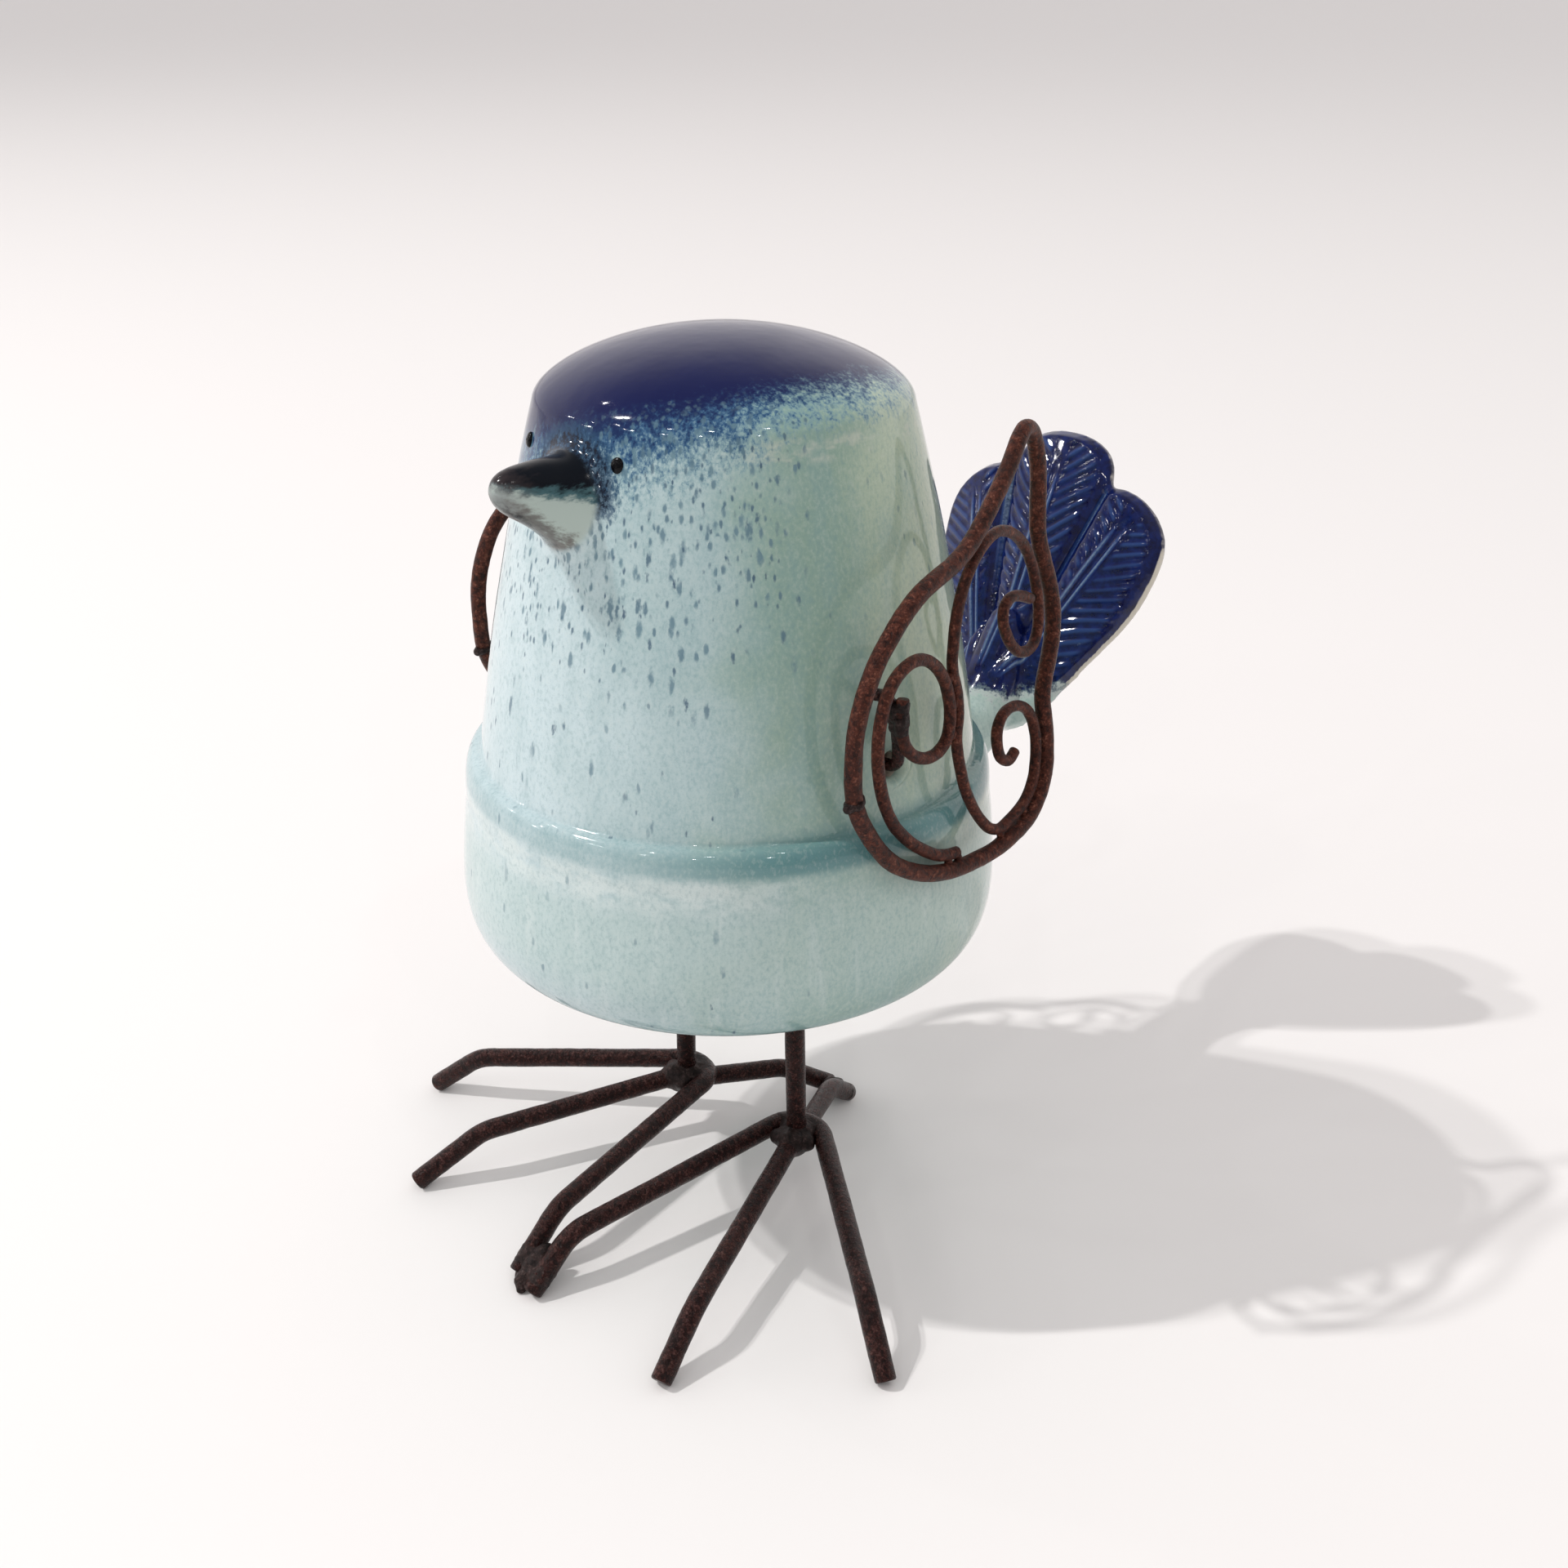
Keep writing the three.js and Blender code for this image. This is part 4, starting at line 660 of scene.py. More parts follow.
def neck_solid():
    c = spline([(0, 58, 128), (0, 76, 119.5), (0, 92, 114.5), (0, 106, 116), (0, 115.5, 127), (0, 121.5, 141), (0, 126, 151)], 1.2)
    t, n, b = frames(c)
    # n lies in the plane of symmetry, b across
    u = np.linspace(0, 1, len(c))
    rn = np.interp(u, [0, 0.18, 0.36, 0.5, 0.64, 0.78, 0.9, 1], [17, 16, 13.6, 12.0, 9.6, 6.6, 4.0, 1.6])
    rb = np.interp(u, [0, 0.18, 0.36, 0.5, 0.64, 0.78, 0.9, 1], [17, 16, 13.8, 12.6, 12.4, 11.8, 9.0, 4.0])
    th = np.linspace(0, 2 * np.pi, 41)[:-1]
    rings = [c[i] + np.outer(rn[i] * np.cos(th), n[i]) + np.outer(rb[i] * np.sin(th), b[i]) for i in range(len(c))]
    return loft(rings)


def laplacian(v, edges, weight, rounds):
    a, b = edges[:, 0], edges[:, 1]
    deg = np.bincount(np.r_[a, b], minlength=len(v)).astype(float)
    for _ in range(rounds):
        acc = np.zeros_like(v)
        np.add.at(acc, a, v[b])
        np.add.at(acc, b, v[a])
        v = v + weight[:, None] * (acc / deg[:, None] - v) * 0.6
    return v


def mesh_edges(ob):
    e = np.zeros(len(ob.data.edges) * 2, np.int64)
    ob.data.edges.foreach_get("vertices", e)
    return e.reshape(-1, 2)


def near_distance(points, cloud, limit):
    kd = KDTree(len(cloud))
    for i, p in enumerate(cloud):
        kd.insert(p, i)
    kd.balance()
    return np.array([kd.find(p)[2] if m else 99.0 for p, m in zip(points, limit)])


def set_attr(ob, name, values):
    at = ob.data.attributes.get(name) or ob.data.attributes.new(name, "FLOAT", "POINT")
    at.data.foreach_set("value", np.asarray(values, np.float32))


def tail_coords(v):
    q = v - TIP
    return q[:, 0], q @ along, q @ front


def build_ceramic():
    parts = []
    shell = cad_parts["body_shell"]
    sv = coords_mm(shell)
    sf = [tuple(p.vertices) for p in shell.data.polygons]
    parts.append((sv, sf))
    bv, bf = beak_solid()
    nv, nf = neck_solid()
    fv, ff = fan_solid()
    parts += [(bv, bf), (nv, nf), (fv, ff)]
    verts, faces, o = [], [], 0
    for v, f in parts:
        verts.append(v)
        faces += [tuple(i + o for i in q) for q in f]
        o += len(v)
    ob = make("ceramic_bird", np.vstack(verts), faces, None)
    # merge the seams of each closed solid, and turn every face outwards
    import bmesh
    bm = bmesh.new()
    bm.from_mesh(ob.data)
    bmesh.ops.remove_doubles(bm, verts=bm.verts, dist=2e-6)
    bmesh.ops.recalc_face_normals(bm, faces=bm.faces)
    bm.to_mesh(ob.data)
    bm.free()
    md = ob.modifiers.new("voxel", "REMESH")
    md.mode = "VOXEL"
    md.voxel_size = 0.0009
    md.adaptivity = 0.0
    dg = bpy.context.evaluated_depsgraph_get()
    me = bpy.data.meshes.new_from_object(ob.evaluated_get(dg))
    ob.modifiers.clear()
    old = ob.data
    ob.data = me
    me.name = "ceramic_bird"
    bpy.data.meshes.remove(old)

    v = coords_mm(ob)
    edges = mesh_edges(ob)
    r, near, d = profile_hit(v)
    close = np.abs(d) < 12
    bsurf = bv[(profile_hit(bv)[2] > -2.5)]
    nsurf = nv[(profile_hit(nv)[2] > -2.5)]
    db = near_distance(v, bsurf, (v[:, 1] < -35) & close & (v[:, 2] > 195))
    dn = near_distance(v, nsurf, (v[:, 1] > 35) & close & (v[:, 2] < 165))
    dj = np.minimum(db, dn)
    # soft fillet where beak and neck are luted on
    seam = (np.abs(d) < 7) & (dj < 7)
    w = np.where(seam, smoothstep(7, 2, np.maximum(np.abs(d), dj)), 0.0)
    v = laplacian(v, edges, w, 15)
    # light smoothing of everything that isn't on the turned surface
    free = ((np.abs(d) > 0.9) & (d > 0)).astype(float)
    v = laplacian(v, edges, free, 3)
    # the turned wall goes back to its exact outline, with the slight wander of a hand-thrown pot
    r, near, d2 = profile_hit(v)
    theta = np.arctan2(v[:, 1], v[:, 0])
    on = (np.abs(d) < 0.95) & ((r > 15.5) | (v[:, 2] > 180))
    keep = smoothstep(2.0, 7.5, dj)
    hole = np.min([np.hypot(v[:, 1] - PEG_HOLE[1], v[:, 2] - PEG_HOLE[2]) + np.where(v[:, 0] * sgn > 0, 0, 99) for sgn in (1, -1)], axis=0)
    legs = np.min([np.hypot(v[:, 0] - x, v[:, 1] - y) for x, y in ((23.5, 2.3), (-24.4, 2.8))], axis=0) + np.where(v[:, 2] < 100, 0, 99)
    keep = keep * smoothstep(3.5, 4.4, hole) * smoothstep(3.8, 4.8, legs)
    off = wobble(theta, near[:, 1]) * smoothstep(88, 96, near[:, 1]) * smoothstep(22, 46, r)
    off = off + 0.75 * np.exp(-((hole - 4.9) / 1.25) ** 2)
    nr = near[:, 0] + off
    target = np.c_[nr * np.cos(theta), nr * np.sin(theta), near[:, 1]]
    k = np.where(on, keep, 0.0)[:, None]
    v = v * (1 - k) + target * k
    set_coords_mm(ob, v)

    # finer mesh on the tail, then its feathers
    import bmesh
    bm = bmesh.new()
    bm.from_mesh(ob.data)
    lim = (110.0 + AXIS[1]) * 0.001
    sel = [e for e in bm.edges if e.verts[0].co.y > lim and e.verts[1].co.y > lim]
    bmesh.ops.subdivide_edges(bm, edges=sel, cuts=1, use_grid_fill=True)
    bm.to_mesh(ob.data)
    bm.free()
    v = coords_mm(ob)
    x, s, n = tail_coords(v)
    rr = np.hypot(x, s - APEX_S)
    inside = (v[:, 1] > 100) & (np.abs(x) < 46) & (s > -99)
    e = np.zeros(len(v))
    e[inside] = edge_distance(x[inside], s[inside])
    base = -BOW * x * x
    hgt, pale = np.zeros(len(v)), np.zeros(len(v))
    hgt[inside], pale[inside] = feather(x[inside], s[inside])
    onfront = smoothstep(-3.4, -1.2, n - base) * inside * smoothstep(0.6, 3.2, e) * smoothstep(10, 24, rr)
    onback = smoothstep(-3.4, -4.9, n - base) * inside * smoothstep(0.6, 3.2, e) * smoothstep(38, 56, rr)
    v = v + np.outer(hgt * onfront - 0.35 * hgt * onback, front)
    set_coords_mm(ob, v)

    # masks for the glaze
    ob.data.polygons.foreach_set("use_smooth", [True] * len(ob.data.polygons))
    nrm = np.zeros(len(v) * 3)
    ob.data.vertices.foreach_get("normal", nrm)
    nrm = nrm.reshape(-1, 3)
    wander = vnoise(v[inside], 6.0, 3.3) if inside.any() else 0
    tl = np.zeros(len(v))
    tl[inside] = smoothstep(2.5, 15.0, s[inside] + 100 - 0.45 * np.abs(x[inside]) + 2.5 * wander)
    tl = tl * smoothstep(102, 110, v[:, 1])
    set_attr(ob, "tail", tl)
    set_attr(ob, "relief", pale * onfront + 0.5 * pale * onback)
    edge_face = smoothstep(0.62, 0.30, np.abs(nrm @ front)) * smoothstep(3.2, 1.2, e)
    down = smoothstep(0.35, -0.2, nrm @ along)
    set_attr(ob, "rim", np.where(inside, edge_face * (0.45 + 0.55 * down), 0) * smoothstep(0, 12, rr))
    # beak masks: how far out along the beak, and how high round it
    a, b = np.array([0, -40, 219.5]), np.array([0, -74.1, 230.4])
    ax = (b - a) / np.linalg.norm(b - a)
    q = v - a
    tt = q @ ax
    perp = q - np.outer(tt, ax)
    up = np.cross([1, 0, 0], ax)
    up = up if up[2] > 0 else -up
    rad = np.linalg.norm(perp, axis=1)
    hi = (perp @ up) / np.maximum(rad, 0.5)
    _, _, dd = profile_hit(v)
    zone = (v[:, 1] < -44) & (v[:, 2] > 200)
    bk = np.where(zone, smoothstep(0.3, 1.7, dd) * smoothstep(17.5, 14.5, rad), 0)
    # the dark glaze runs on over the brow above the beak
    brow = np.where((v[:, 1] < -38) & (v[:, 2] > 225), smoothstep(15.0, 10.5, np.hypot(v[:, 0], (v[:, 2] - 229) * 0.8)) * smoothstep(-1, 1, hi * 2), 0)
    set_attr(ob, "beak", bk)
    around = np.hypot(v[:, 0], v[:, 2] - 225.5)
    set_attr(ob, "brow", np.where(v[:, 1] < -36, smoothstep(20.5, 12.0, around) * smoothstep(218, 227, v[:, 2] + 0.2 * np.abs(v[:, 0])), 0))
    set_attr(ob, "beak_t", np.clip(tt / np.linalg.norm(b - a), 0, 1.1))
    set_attr(ob, "beak_up", np.where(zone | (brow > 0), hi * smoothstep(0.2, 3.4, rad), 0))

    # bare clay inside
    me = ob.data
    cen = np.zeros(len(me.polygons) * 3)
    me.polygons.foreach_get("center", cen)
    cen = cen.reshape(-1, 3) * 1000 - AXIS
    _, _, dc = profile_hit(cen)
    inner = (dc < -1.6) & (cen[:, 1] < 66)
    me.materials.append(glaze_material())
    me.materials.append(bare_clay())
    me.polygons.foreach_set("material_index", inner.astype(np.int32))
    me.update()
    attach(ob, "stand_and_body")
    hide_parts("body_shell", "beak", "tail")
    return ob


ceramic = build_ceramic()


# eyes: raised dots of black glaze
def eye_dot(name, angle, z, rx, rz, sgn):
    i = np.argmin(np.abs(OUTER[:, 1] - z))
    r0 = OUTER[i, 0]
    tan = OUTER[i + 2] - OUTER[i - 2]
    tan /= np.linalg.norm(tan)
    th = math.radians(angle)
    out = np.array([sgn * math.sin(th), -math.cos(th), 0])
    rng = r0 + wobble(math.atan2(out[1], out[0]), z)
    side = np.array([math.cos(th) * sgn, math.sin(th), 0]) * sgn
    down = out * tan[0] + np.array([0, 0, tan[1]])
    nrm = out * (-tan[1]) + np.array([0, 0, tan[0]])
    c = out * rng + np.array([0, 0, z])
    rings = []
    for k in range(9):
        f = math.cos(k / 8 * math.pi / 2)
        rings.append((f, 0.75 * math.sin(k / 8 * math.pi / 2) + 0.12))
    th2 = np.linspace(0, 2 * np.pi, 33)[:-1]
    rg = []
    for f, hgt in [(0.92, -0.7)] + rings[:-1] + [(0.03, 0.5)]:
        wav = 1 + 0.015 * np.sin(3 * th2 + angle)
        rg.append(c + np.outer(rx * f * wav * np.cos(th2), side) + np.outer(rz * f * wav * np.sin(th2), down) + nrm * hgt)
    v, f = loft(rg)
    ob = make(name, v, f, "stand_and_body")
    g = Nodes(name + "_glaze")
    nn = g.noise(g.pos, 1.2, 3.0, 0.6)
    g.put(g.bsdf.inputs["Base Color"], g.mix(nn, (0.0010, 0.0010, 0.0014), (0.0035, 0.0035, 0.0048)))
    g.put(g.bsdf.inputs["Roughness"], g.step(nn, 0.3, 0.7, 0.14, 0.24))
    g.bsdf.inputs["Specular IOR Level"].default_value = 0.16
    g.bump(nn, 0.00005, 0.4)
    assign(ob, g.mat)
    import bmesh
    bm = bmesh.new()
    bm.from_mesh(ob.data)
    bmesh.ops.recalc_face_normals(bm, faces=bm.faces)
    bm.to_mesh(ob.data)
    bm.free()


eye_dot("eye_left", 16.4, 233.6, 1.7, 1.95, 1)
eye_dot("eye_right", 25.0, 233.0, 1.7, 1.95, -1)


# ------------------------------------------------------------------ rods and wires
def tube(centre, radius, sides=20, seed=0.0, rough=0.06, start="cut", end="cut", lumps=0.0):
    c = np.asarray(centre, float)
    t, n, b = frames(c)
    L = np.r_[0, np.cumsum(np.linalg.norm(np.diff(c, axis=0), axis=1))]
    th = np.linspace(0, 2 * np.pi, sides + 1)[:-1]
    rings = []

    def ring(i, pos, scale):
        base = pos + np.outer(np.cos(th), n[i]) * radius + np.outer(np.sin(th), b[i]) * radius
        dirs = np.outer(np.cos(th), n[i]) + np.outer(np.sin(th), b[i])
        k = np.array([noise.noise(Vector(p * 0.42 + seed)) * rough + noise.noise(Vector(p * 0.13 + seed * 2)) * rough * 1.3
                      + max(noise.noise(Vector(p * 0.9 - seed)) - 0.25, 0) * lumps for p in base])
        return pos + dirs * ((radius * scale + k * min(scale * 1.5, 1))[:, None])

    prof = {"cut": [(-0.0, 0.0), (0.0, 0.55), (0.02, 0.88), (0.16, 0.98)], "round": [(0.0, 0.0), (0.04, 0.30), (0.18, 0.62), (0.45, 0.86), (0.85, 0.98)]}
    for dz, sc in prof[start]:
        rings.append(ring(0, c[0] + t[0] * dz * radius, max(sc, 0.02)))
    for i in range(1, len(c) - 1):
        if L[i] > 0.95 * radius and L[-1] - L[i] > 0.95 * radius:
            rings.append(ring(i, c[i], 1.0))
    for dz, sc in prof[end][::-1]:
        rings.append(ring(len(c) - 1, c[-1] - t[-1] * dz * radius, max(sc, 0.02)))
    return loft(rings)


def fix_normals(ob):
    import bmesh
    bm = bmesh.new()
    bm.from_mesh(ob.data)
    bmesh.ops.recalc_face_normals(bm, faces=bm.faces)
    bm.to_mesh(ob.data)
    bm.free()
    return ob


rod_mat = iron("rod_patina", (0.0060, 0.0014, 0.0011), (0.037, 0.0088, 0.0064), (0.130, 0.062, 0.052), 0.25)
wing_mat = iron("wing_patina", (0.018, 0.0042, 0.0023), (0.092, 0.0225, 0.0120), (0.270, 0.112, 0.074), 0.42)
weld_mat = iron("weld_bead", (0.0055, 0.0026, 0.0024), (0.030, 0.0150, 0.0130), (0.140, 0.100, 0.095), 0.42)


def metal(name, solid, body, mat, slot, *nodes):
    ob = fix_normals(make(name, solid[0], solid[1], body))
    assign(ob, mat)
    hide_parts(*nodes)
    return ob


def bend(points, radius, n=9):
    p = [np.array(q, float) for q in points]
    out = [p[0]]
    for i in range(1, len(p) - 1):
        a, b = p[i - 1] - p[i], p[i + 1] - p[i]
        la, lb = np.linalg.norm(a), np.linalg.norm(b)
        hf = math.acos(max(-1, min(1, (a @ b) / la / lb))) / 2
        cut = min(radius / math.tan(hf), la * 0.45, lb * 0.45)
        s, e = p[i] + a / la * cut, p[i] + b / lb * cut
        for t in np.linspace(0, 1, n):
            out.append((1 - t) ** 2 * s + 2 * (1 - t) * t * p[i] + t * t * e)
    out.append(p[-1])
    return np.array(out)


def tipped(knuckle, tip, extra=2.0):
    k, t = np.array(knuckle, float), np.array(tip, float)
    return t + (t - k) / np.linalg.norm(t - k) * extra


def grounded(solid):
    """The ends stand flat on the ground."""
    v, f = solid
    v = v.copy()
    v[:, 2] = np.maximum(v[:, 2], 0.0)
    return v, f


feet_lines = {}
for side, f in FEET.items():
    J = np.array(f["junction"], float)
    top = np.array(f["top"], float)
    lean = (top - J) / (top[2] - J[2])
    leg_line = np.array([J + lean * (z - J[2]) for z in np.arange(J[2] - 5, 106.01, 0.9)])
    metal(f"leg_{side}_rod", tube(leg_line, ROD, 24, 1.0 + J[0], 0.05, "round", "cut"), "stand_and_body", rod_mat, "rod", f"leg_{side}")
    sg = 1 if side == "left" else -1
    clear = 2 * ROD + 0.15
    bendr = 9.3
    ahead = np.array([f["middle"][0][0] - J[0], f["middle"][0][1] - J[1], 0.0])
    C = J + ahead / np.linalg.norm(ahead) * (bendr - clear)

    def tangent(P, turn):
        dx, dy = P[0] - C[0], P[1] - C[1]
        return math.atan2(dy, dx) + turn * math.acos(bendr / math.hypot(dx, dy))

    a0, a1 = tangent(f["inner"][0], -sg), tangent(f["outer"][0], sg)
    if sg > 0:
        while a0 < a1:
            a0 += 2 * math.pi
        while a0 - a1 > 2 * math.pi:
            a0 -= 2 * math.pi
    else:
        while a1 < a0:
            a1 += 2 * math.pi
        while a1 - a0 > 2 * math.pi:
            a1 -= 2 * math.pi
    arc = np.array([C + (bendr * math.cos(a), bendr * math.sin(a), 0) for a in np.linspace(a0, a1, 25)])
    it, ot = tipped(*f["inner"]), tipped(*f["outer"])
    line = np.vstack([bend([it, f["inner"][0], arc[0]], 14)[:-1], arc, bend([arc[-1], f["outer"][0], ot], 14)[1:]])
    line = resample(line, 0.9)
    metal(f"toe_bow_{side}_rod", grounded(tube(line, ROD, 24, 7.0 + sg, 0.07, "cut", "cut", 0.12)), "stand_and_body", rod_mat, "rod", f"toe_bow_{side}")

    def reach(P, start):
        P = np.array(P, float)
        dxy = math.hypot(P[0] - J[0], P[1] - J[1])
        return J + (P - J) * start / dxy

    mid = resample(bend([reach(f["middle"][0], 2.0), f["middle"][0], tipped(*f["middle"])], 14), 0.9)
    metal(f"toe_middle_{side}_rod", grounded(tube(mid, ROD, 24, 13.0 + sg, 0.07, "cut", "cut", 0.12)), "stand_and_body", rod_mat, "rod", f"toe_middle_{side}")
    bck = resample(bend([reach(f["back"][0], clear + 1.0) - (0, 0, 1.8), f["back"][0], tipped(*f["back"])], 14), 0.9)
    metal(f"toe_back_{side}_rod", grounded(tube(bck, ROD, 24, 19.0 + sg, 0.07, "cut", "cut", 0.12)), "stand_and_body", rod_mat, "rod", f"toe_back_{side}")
    feet_lines[side] = dict(J=J, mid=mid, back=bck, bow=line, leg=leg_line, inner_tip=it, back_tip=tipped(*f["back"]))


def ball(c, r, squash=(1, 1, 1), n=14):
    rings = []
    for i in range(1, n):
        a = math.pi * i / n
        th = np.linspace(0, 2 * np.pi, 2 * n + 1)[:-1]
        rings.append(np.c_[np.sin(a) * np.cos(th) * r * squash[0], np.sin(a) * np.sin(th) * r * squash[1], np.full(2 * n, np.cos(a) * r * squash[2])] + np.array(c, float))
    return loft(rings)


def weld(name, solids, body, nodes, voxel=0.35, rounds=5, seed=0.0, bumps=0.28):
    """A bead of weld: lumps run together, then smoothed and roughened."""
    verts, faces, o = [], [], 0
    for v, f in solids:
        verts.append(v)
        faces += [tuple(i + o for i in q) for q in f]
        o += len(v)
    ob = make(name, np.vstack(verts), faces, None)
    fix_normals(ob)
    md = ob.modifiers.new("voxel", "REMESH")
    md.mode = "VOXEL"
    md.voxel_size = voxel * 0.001
    me = bpy.data.meshes.new_from_object(ob.evaluated_get(bpy.context.evaluated_depsgraph_get()))
    ob.modifiers.clear()
    old, ob.data = ob.data, me
    bpy.data.meshes.remove(old)
    v = coords_mm(ob)
    v = laplacian(v, mesh_edges(ob), np.ones(len(v)), rounds)
    c = v.mean(0)
    d = v - c
    d /= np.maximum(np.linalg.norm(d, axis=1), 1e-6)[:, None]
    v = v + d * (vnoise(v, 1.7, seed) * bumps + vnoise(v, 0.7, seed + 5) * bumps * 0.3)[:, None]
    v[:, 2] = np.maximum(v[:, 2], 0.02)
    set_coords_mm(ob, v)
    ob.data.polygons.foreach_set("use_smooth", [True] * len(ob.data.polygons))
    ob.data.name = name
    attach(ob, body)
    assign(ob, weld_mat)
    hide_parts(*nodes)
    return ob


def piece_of(line, centre, reach_mm, radius):
    d = np.linalg.norm(line - np.asarray(centre, float), axis=1)
    k = np.where(d < reach_mm)[0]
    return tube(line[k[0]:k[-1] + 1], radius, 18, 0.0, 0.0, "round", "round")


for side, q in feet_lines.items():
    J = q["J"]
    mdir = q["mid"][8] - J
    mdir /= np.linalg.norm(mdir)
    solids = [piece_of(q["leg"], J + (0, 0, 1.5), 5.0, ROD + 0.4), piece_of(q["mid"], J, 10.5, ROD + 0.4), piece_of(q["bow"], J, 8.6, ROD + 0.2),
              piece_of(q["back"], J, 12.5, ROD + 0.15), ball(J + mdir * 2.5 + (0, 0, -1.2), 4.7), ball(J + mdir * 5.0 + (0, 0, 0.8), 3.9),
              ball(J - mdir * 3.4 + (0, 0, -1.0), 4.0)]
    # webs of weld in the crotches between the middle toe and the two arms of the bow
    d = np.linalg.norm(q["bow"] - J, axis=1)
    k = int(d.argmin())
    for arm in (q["bow"][:k][::-1], q["bow"][k:]):
        away = np.linalg.norm(arm - J, axis=1)
        for dist, rad in ((6.5, 3.6), (8.8, 2.7)):
            i, j = int(np.abs(away - dist).argmin()), int(np.abs(np.linalg.norm(q["mid"] - J, axis=1) - dist * 0.8).argmin())
            solids.append(ball(arm[i] * 0.55 + q["mid"][j] * 0.45 + (0, 0, 0.3), rad))
    weld(f"foot_weld_{side}_bead", solids, "stand_and_body", [f"foot_weld_{side}"], 0.45, 26, 3.0 + J[0], 0.2)


def tip_weld(name, lines, tips, node, reach_mm, spots, burrs):
    solids, ends = [], []
    for line, tip in zip(lines, tips):
        solids.append(piece_of(line, tip, reach_mm, ROD + 0.15))
        ends.append(line if np.linalg.norm(line[0] - tip) < 1.5 else line[::-1])
    for dist, rad in spots:
        i = int(dist / 0.9)
        solids.append(ball((ends[0][i] + ends[1][i]) / 2 + (0, 0, 0.2), rad))
    c = (tips[0] + tips[1]) / 2
    for q in burrs:
        solids.append(ball(c + np.array(q[:3]), q[3]))
    weld(name, solids, "stand_and_body", [node], 0.4, 7, 9.0, 0.42)


L, Rr = feet_lines["left"], feet_lines["right"]
tip_weld("front_toe_weld_bead", [L["bow"], Rr["bow"]], [L["inner_tip"], Rr["inner_tip"]], "front_toe_weld", 11.0,
         [(2.0, 3.1), (4.5, 3.3), (7.0, 3.2), (9.0, 2.6), (11.0, 1.8)], [(-0.8, -1.2, 0.6, 1.9), (-2.9, 0.6, 0.6, 1.6), (0.9, -1.9, -0.3, 1.5)])
tip_weld("back_toe_weld_bead", [L["back"], Rr["back"]], [L["back_tip"], Rr["back_tip"]], "back_toe_weld", 7.0,
         [(2.0, 3.0), (4.5, 2.9), (6.5, 2.2)], [])


# ------------------------------------------------------------------ wings
def on_wing(pts):
    p = np.array(pts, float)
    a, b = (p[:, 0] + 7) / 50, (p[:, 1] - 160) / 50
    s = WING_SURFACE
    return np.c_[s[0] + s[1] * a + s[2] * b + s[3] * a * a + s[4] * a * b + s[5] * b * b, p]


def mirrored(solid, side):
    v, f = solid
    return (v if side == "left" else v * (-1, 1, 1)), f


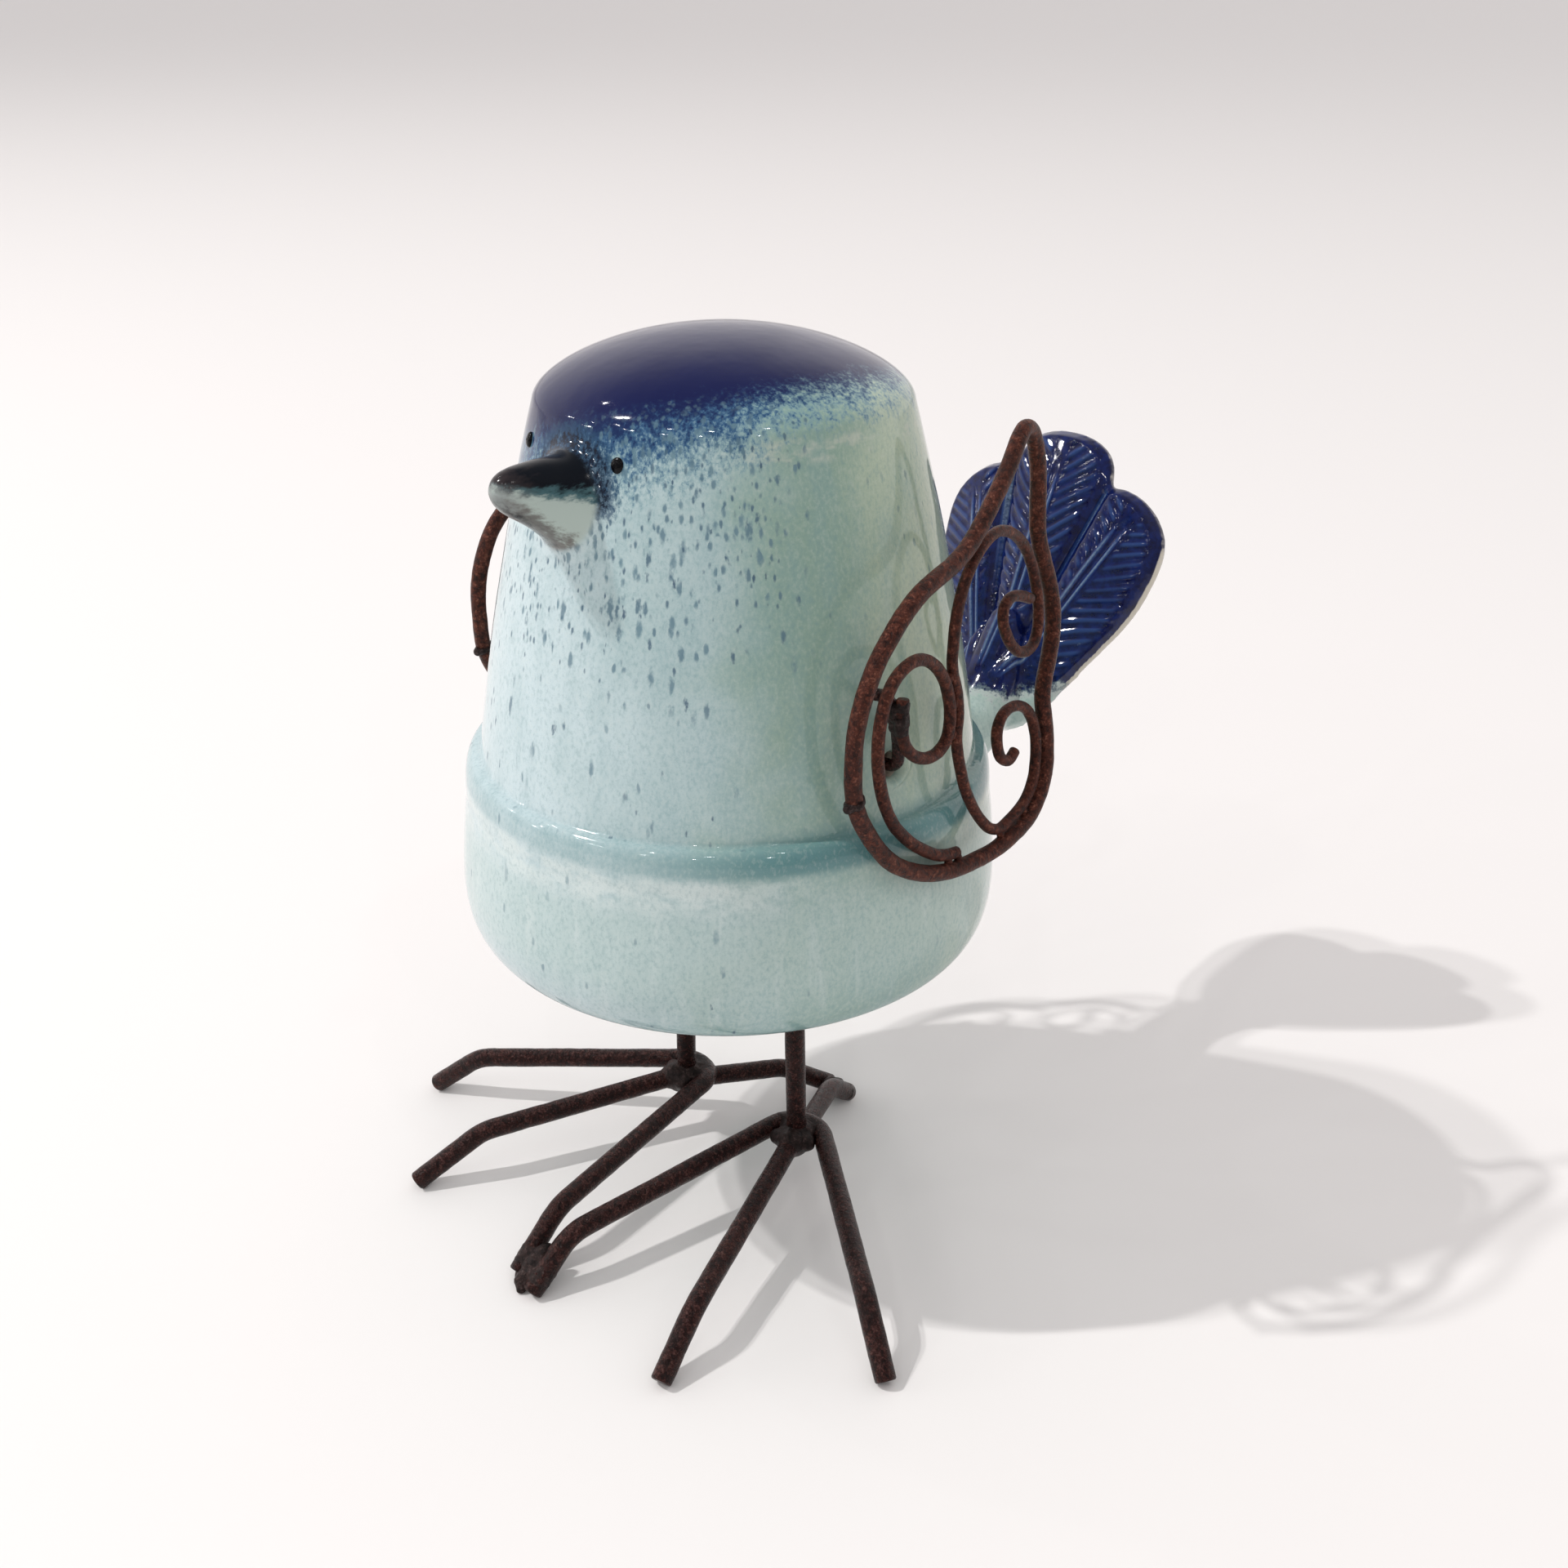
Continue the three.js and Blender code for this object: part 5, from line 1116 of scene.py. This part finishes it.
for side in ("left", "right"):
    body = f"wing_{side}"
    seed = 2.0 if side == "left" else 31.0
    loop = spline(on_wing(WING_LOOP), 0.8)
    s1, s2 = spline(on_wing(FRONT_SCROLL), 0.7), spline(on_wing(REAR_SCROLL), 0.7)
    peg = spline(PEG, 0.6)
    metal(f"wing_loop_{side}_wire", mirrored(tube(loop, LOOP_WIRE, 22, seed, 0.07, "cut", "cut", 0.10), side), body, wing_mat, "wing_wire", f"wing_loop_{side}")
    metal(f"front_scroll_{side}_wire", mirrored(tube(s1, FRONT_WIRE, 18, seed + 3, 0.05, "cut", "cut", 0.08), side), body, wing_mat, "wing_wire", f"front_scroll_{side}")
    metal(f"rear_scroll_{side}_wire", mirrored(tube(s2, REAR_WIRE, 18, seed + 5, 0.05, "cut", "cut", 0.08), side), body, wing_mat, "wing_wire", f"rear_scroll_{side}")
    metal(f"wing_peg_{side}_wire", mirrored(tube(peg, PEG_WIRE, 16, seed + 7, 0.05, "cut", "round"), side), body, rod_mat, "wing_wire", f"wing_peg_{side}")
    k = loop[0]
    d = loop[2] - loop[-3]
    d /= np.linalg.norm(d)
    acr = np.cross(d, [1, 0, 0])
    acr /= np.linalg.norm(acr)
    ringw = tube(np.array([k - d * 1.9, k - d * 1.2, k - d * 0.4, k + d * 0.4, k + d * 1.2, k + d * 1.9]), LOOP_WIRE + 0.55, 20, 0.0, 0.0, "round", "round")
    knot = [ringw, ball(k + acr * 2.3 + d * 0.2, 1.15), ball(k - acr * 2.4 - d * 0.1, 1.25), ball(k + np.array([1.9, 0, 0.3]), 1.1)]
    weld(f"loop_weld_{side}_bead", [mirrored(q, side) for q in knot], body, [f"loop_weld_{side}"], 0.28, 4, seed, 0.22)
    pw = [mirrored(q, side) for q in (
        piece_of(s1, s1[-8], 6.0, FRONT_WIRE + 0.2), piece_of(peg, (69.0, -9.8, 175.0), 5.5, PEG_WIRE + 0.35),
        ball((70.4, -11.9, 178.4), 1.5), ball((70.6, -10.9, 175.6), 1.9), ball((70.4, -10.5, 172.6), 1.7), ball((70.1, -9.6, 169.8), 1.6), ball((69.9, -9.0, 167.2), 1.2))]
    weld(f"peg_weld_{side}_bead", pw, body, [f"peg_weld_{side}"], 0.3, 3, seed + 2, 0.55)
    # short tacks where the scrolls touch the loop and each other
    tacks = []
    for a_line, ra, b_line, rb in ((s1, FRONT_WIRE, loop, LOOP_WIRE), (s2, REAR_WIRE, loop, LOOP_WIRE), (s2, REAR_WIRE, s1, FRONT_WIRE)):
        dist = np.linalg.norm(a_line[:, None, :] - b_line[None, :, :], axis=2)
        gap = dist.min(1) - ra - rb
        near = np.where(gap < 0.75)[0]
        if len(near) == 0:
            continue
        runs = np.split(near, np.where(np.diff(near) > 3)[0] + 1)
        for run in runs:
            for i in run[:: max(len(run) // 2, 1)][:3]:
                j = dist[i].argmin()
                tacks.append(a_line[i] + (b_line[j] - a_line[i]) * ra / (ra + rb))
    if tacks:
        tk = [mirrored(ball(p, 1.05, (1.0, 1.0, 1.5)), side) for p in tacks]
        verts, faces, o = [], [], 0
        for v, f in tk:
            verts.append(v)
            faces += [tuple(i + o for i in q) for q in f]
            o += len(v)
        vv = np.vstack(verts)
        vv = vv + (vnoise(vv, 0.8, seed)[:, None]) * 0.12
        ob = fix_normals(make(f"scroll_tacks_{side}", vv, faces, body))
        assign(ob, wing_mat)

# carried-over fixings
nut_mat, washer_mat = plated("zinc_nut", (0.50, 0.49, 0.46), 0.38), rubber()
for n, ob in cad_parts.items():
    if "nut" in n:
        assign(ob, nut_mat)
    elif "washer" in n:
        assign(ob, washer_mat)

# ------------------------------------------------------------------ floor, backdrop, light
def plain(name, colour, rough):
    m = bpy.data.materials.new(name)
    m.use_nodes = True
    sh = m.node_tree.nodes["Principled BSDF"]
    sh.inputs["Base Color"].default_value = (*colour, 1)
    sh.inputs["Roughness"].default_value = rough
    sh.inputs["Specular IOR Level"].default_value = 0.2
    return m


def flat(name, corners, mat):
    me = bpy.data.meshes.new(name)
    me.from_pydata([tuple(c) for c in corners], [], [(0, 1, 2, 3)])
    ob = bpy.data.objects.new(name, me)
    bpy.context.scene.collection.objects.link(ob)
    me.materials.append(mat)
    return ob


flat("floor", [(-80, -80, 0), (80, -80, 0), (80, 80, 0), (-80, 80, 0)], plain("pale_floor", (0.810, 0.790, 0.781), 0.6))

world = bpy.data.worlds.new("studio")
bpy.context.scene.world = world
world.use_nodes = True
wn = world.node_tree
bg = wn.nodes["Background"]
tc = wn.nodes.new("ShaderNodeTexCoord")


def wmath(kind, op, a, b):
    n = wn.nodes.new(kind)
    n.operation = op
    for sock, val in zip(n.inputs, (a, b)):
        if isinstance(val, bpy.types.NodeSocket):
            wn.links.new(val, sock)
        else:
            sock.default_value = val
    return n


def wstep(val, lo, hi):
    n = wn.nodes.new("ShaderNodeMapRange")
    n.interpolation_type = "SMOOTHSTEP"
    wn.links.new(val, n.inputs[0])
    n.inputs[1].default_value, n.inputs[2].default_value = lo, hi
    return n.outputs[0]


# pale walls on the far side, a darker room behind the camera and overhead
toward = wmath("ShaderNodeVectorMath", "DOT_PRODUCT", tc.outputs["Generated"], (-0.70, 0.70, 0.0)).outputs["Value"]
sp = wn.nodes.new("ShaderNodeSeparateXYZ")
wn.links.new(tc.outputs["Generated"], sp.inputs[0])
lower = wmath("ShaderNodeMath", "SUBTRACT", 1.0, wstep(sp.outputs[2], 0.40, 0.92)).outputs[0]
across = wmath("ShaderNodeVectorMath", "DOT_PRODUCT", tc.outputs["Generated"], (0.715, 0.70, 0.0)).outputs["Value"]
turn = wmath("ShaderNodeMath", "ADD", 0.84, wmath("ShaderNodeMath", "MULTIPLY", wstep(across, 0.05, 0.13), 0.20).outputs[0]).outputs[0]
bright = wmath("ShaderNodeMath", "MULTIPLY", wstep(toward, -0.45, 0.55), wmath("ShaderNodeMath", "MULTIPLY", lower, turn).outputs[0]).outputs[0]
mixer = wn.nodes.new("ShaderNodeMix")
mixer.data_type = "RGBA"
wn.links.new(bright, mixer.inputs[0])
mixer.inputs[6].default_value = (0.290, 0.283, 0.292, 1)
mixer.inputs[7].default_value = (1.02, 0.975, 0.965, 1)
wn.links.new(mixer.outputs[2], bg.inputs[0])
bg.inputs[1].default_value = 1.0


def fill(name, frm, energy, angle):
    """Broad soft fill that leaves no mirror image in the glaze."""
    ld = bpy.data.lights.new(name, "SUN")
    ld.energy = energy
    ld.angle = math.radians(angle)
    ld.color = (1.0, 0.975, 0.965)
    lo = bpy.data.objects.new(name, ld)
    lo.rotation_euler = Vector(frm).to_track_quat("Z", "Y").to_euler()
    lo.location = (0, 0, 3)
    lo.visible_glossy = False
    bpy.context.scene.collection.objects.link(lo)


fill("fill_top", (0.0, 0.0, 1.0), 0.85, 130)
fill("fill_front", (0.55, -0.70, 0.55), 0.34, 90)


def lamp(name, pos_mm, watts, size, colour=(1.0, 0.985, 0.97)):
    ld = bpy.data.lights.new(name, "AREA")
    ld.shape = "DISK"
    ld.size = size
    ld.energy = watts
    ld.color = colour
    lo = bpy.data.objects.new(name, ld)
    p = Vector(pos_mm) * 0.001 + Vector((AXIS[0], AXIS[1], 0)) * 0.001
    lo.location = p
    lo.rotation_euler = (Vector((0, 0, 0.13)) - p).to_track_quat("-Z", "Y").to_euler()
    bpy.context.scene.collection.objects.link(lo)


def beyond(p, k):
    """The same direction from the bird, k times as far."""
    return tuple(c0 + (c - c0) * k for c, c0 in zip(p, (0, 0, 150)))


lamp("key_a", beyond((-1010, -993, 2100), 2.5), 92.0, 0.11)
lamp("key_b", beyond((-791, -801, 1545), 2.5), 50.0, 0.11)
for i, (p, w, sz) in enumerate((((-1250, -1450, 700), 0.8, 0.06), ((-1650, -1000, 900), 0.8, 0.06), ((-400, -1900, 1300), 0.8, 0.06), ((-1500, -300, 2000), 0.9, 0.06),
                                ((150, -1500, 2000), 1.1, 0.07), ((900, -1200, 2000), 1.1, 0.07), ((1300, -300, 2100), 1.1, 0.07), ((-900, -1700, 1700), 0.8, 0.06), ((-1600, -1700, 1450), 0.8, 0.05), ((-650, -2150, 1500), 0.9, 0.05),
                                ((350, -2200, 1450), 0.9, 0.05), ((1150, -1900, 1500), 0.9, 0.05), ((1900, -900, 1500), 0.9, 0.05))):
    lamp(f"spark_{i}", p, w, sz)

sc = bpy.context.scene
sc.view_settings.view_transform = "Standard"
sc.view_settings.look = "None"
sc.view_settings.exposure = 0.0
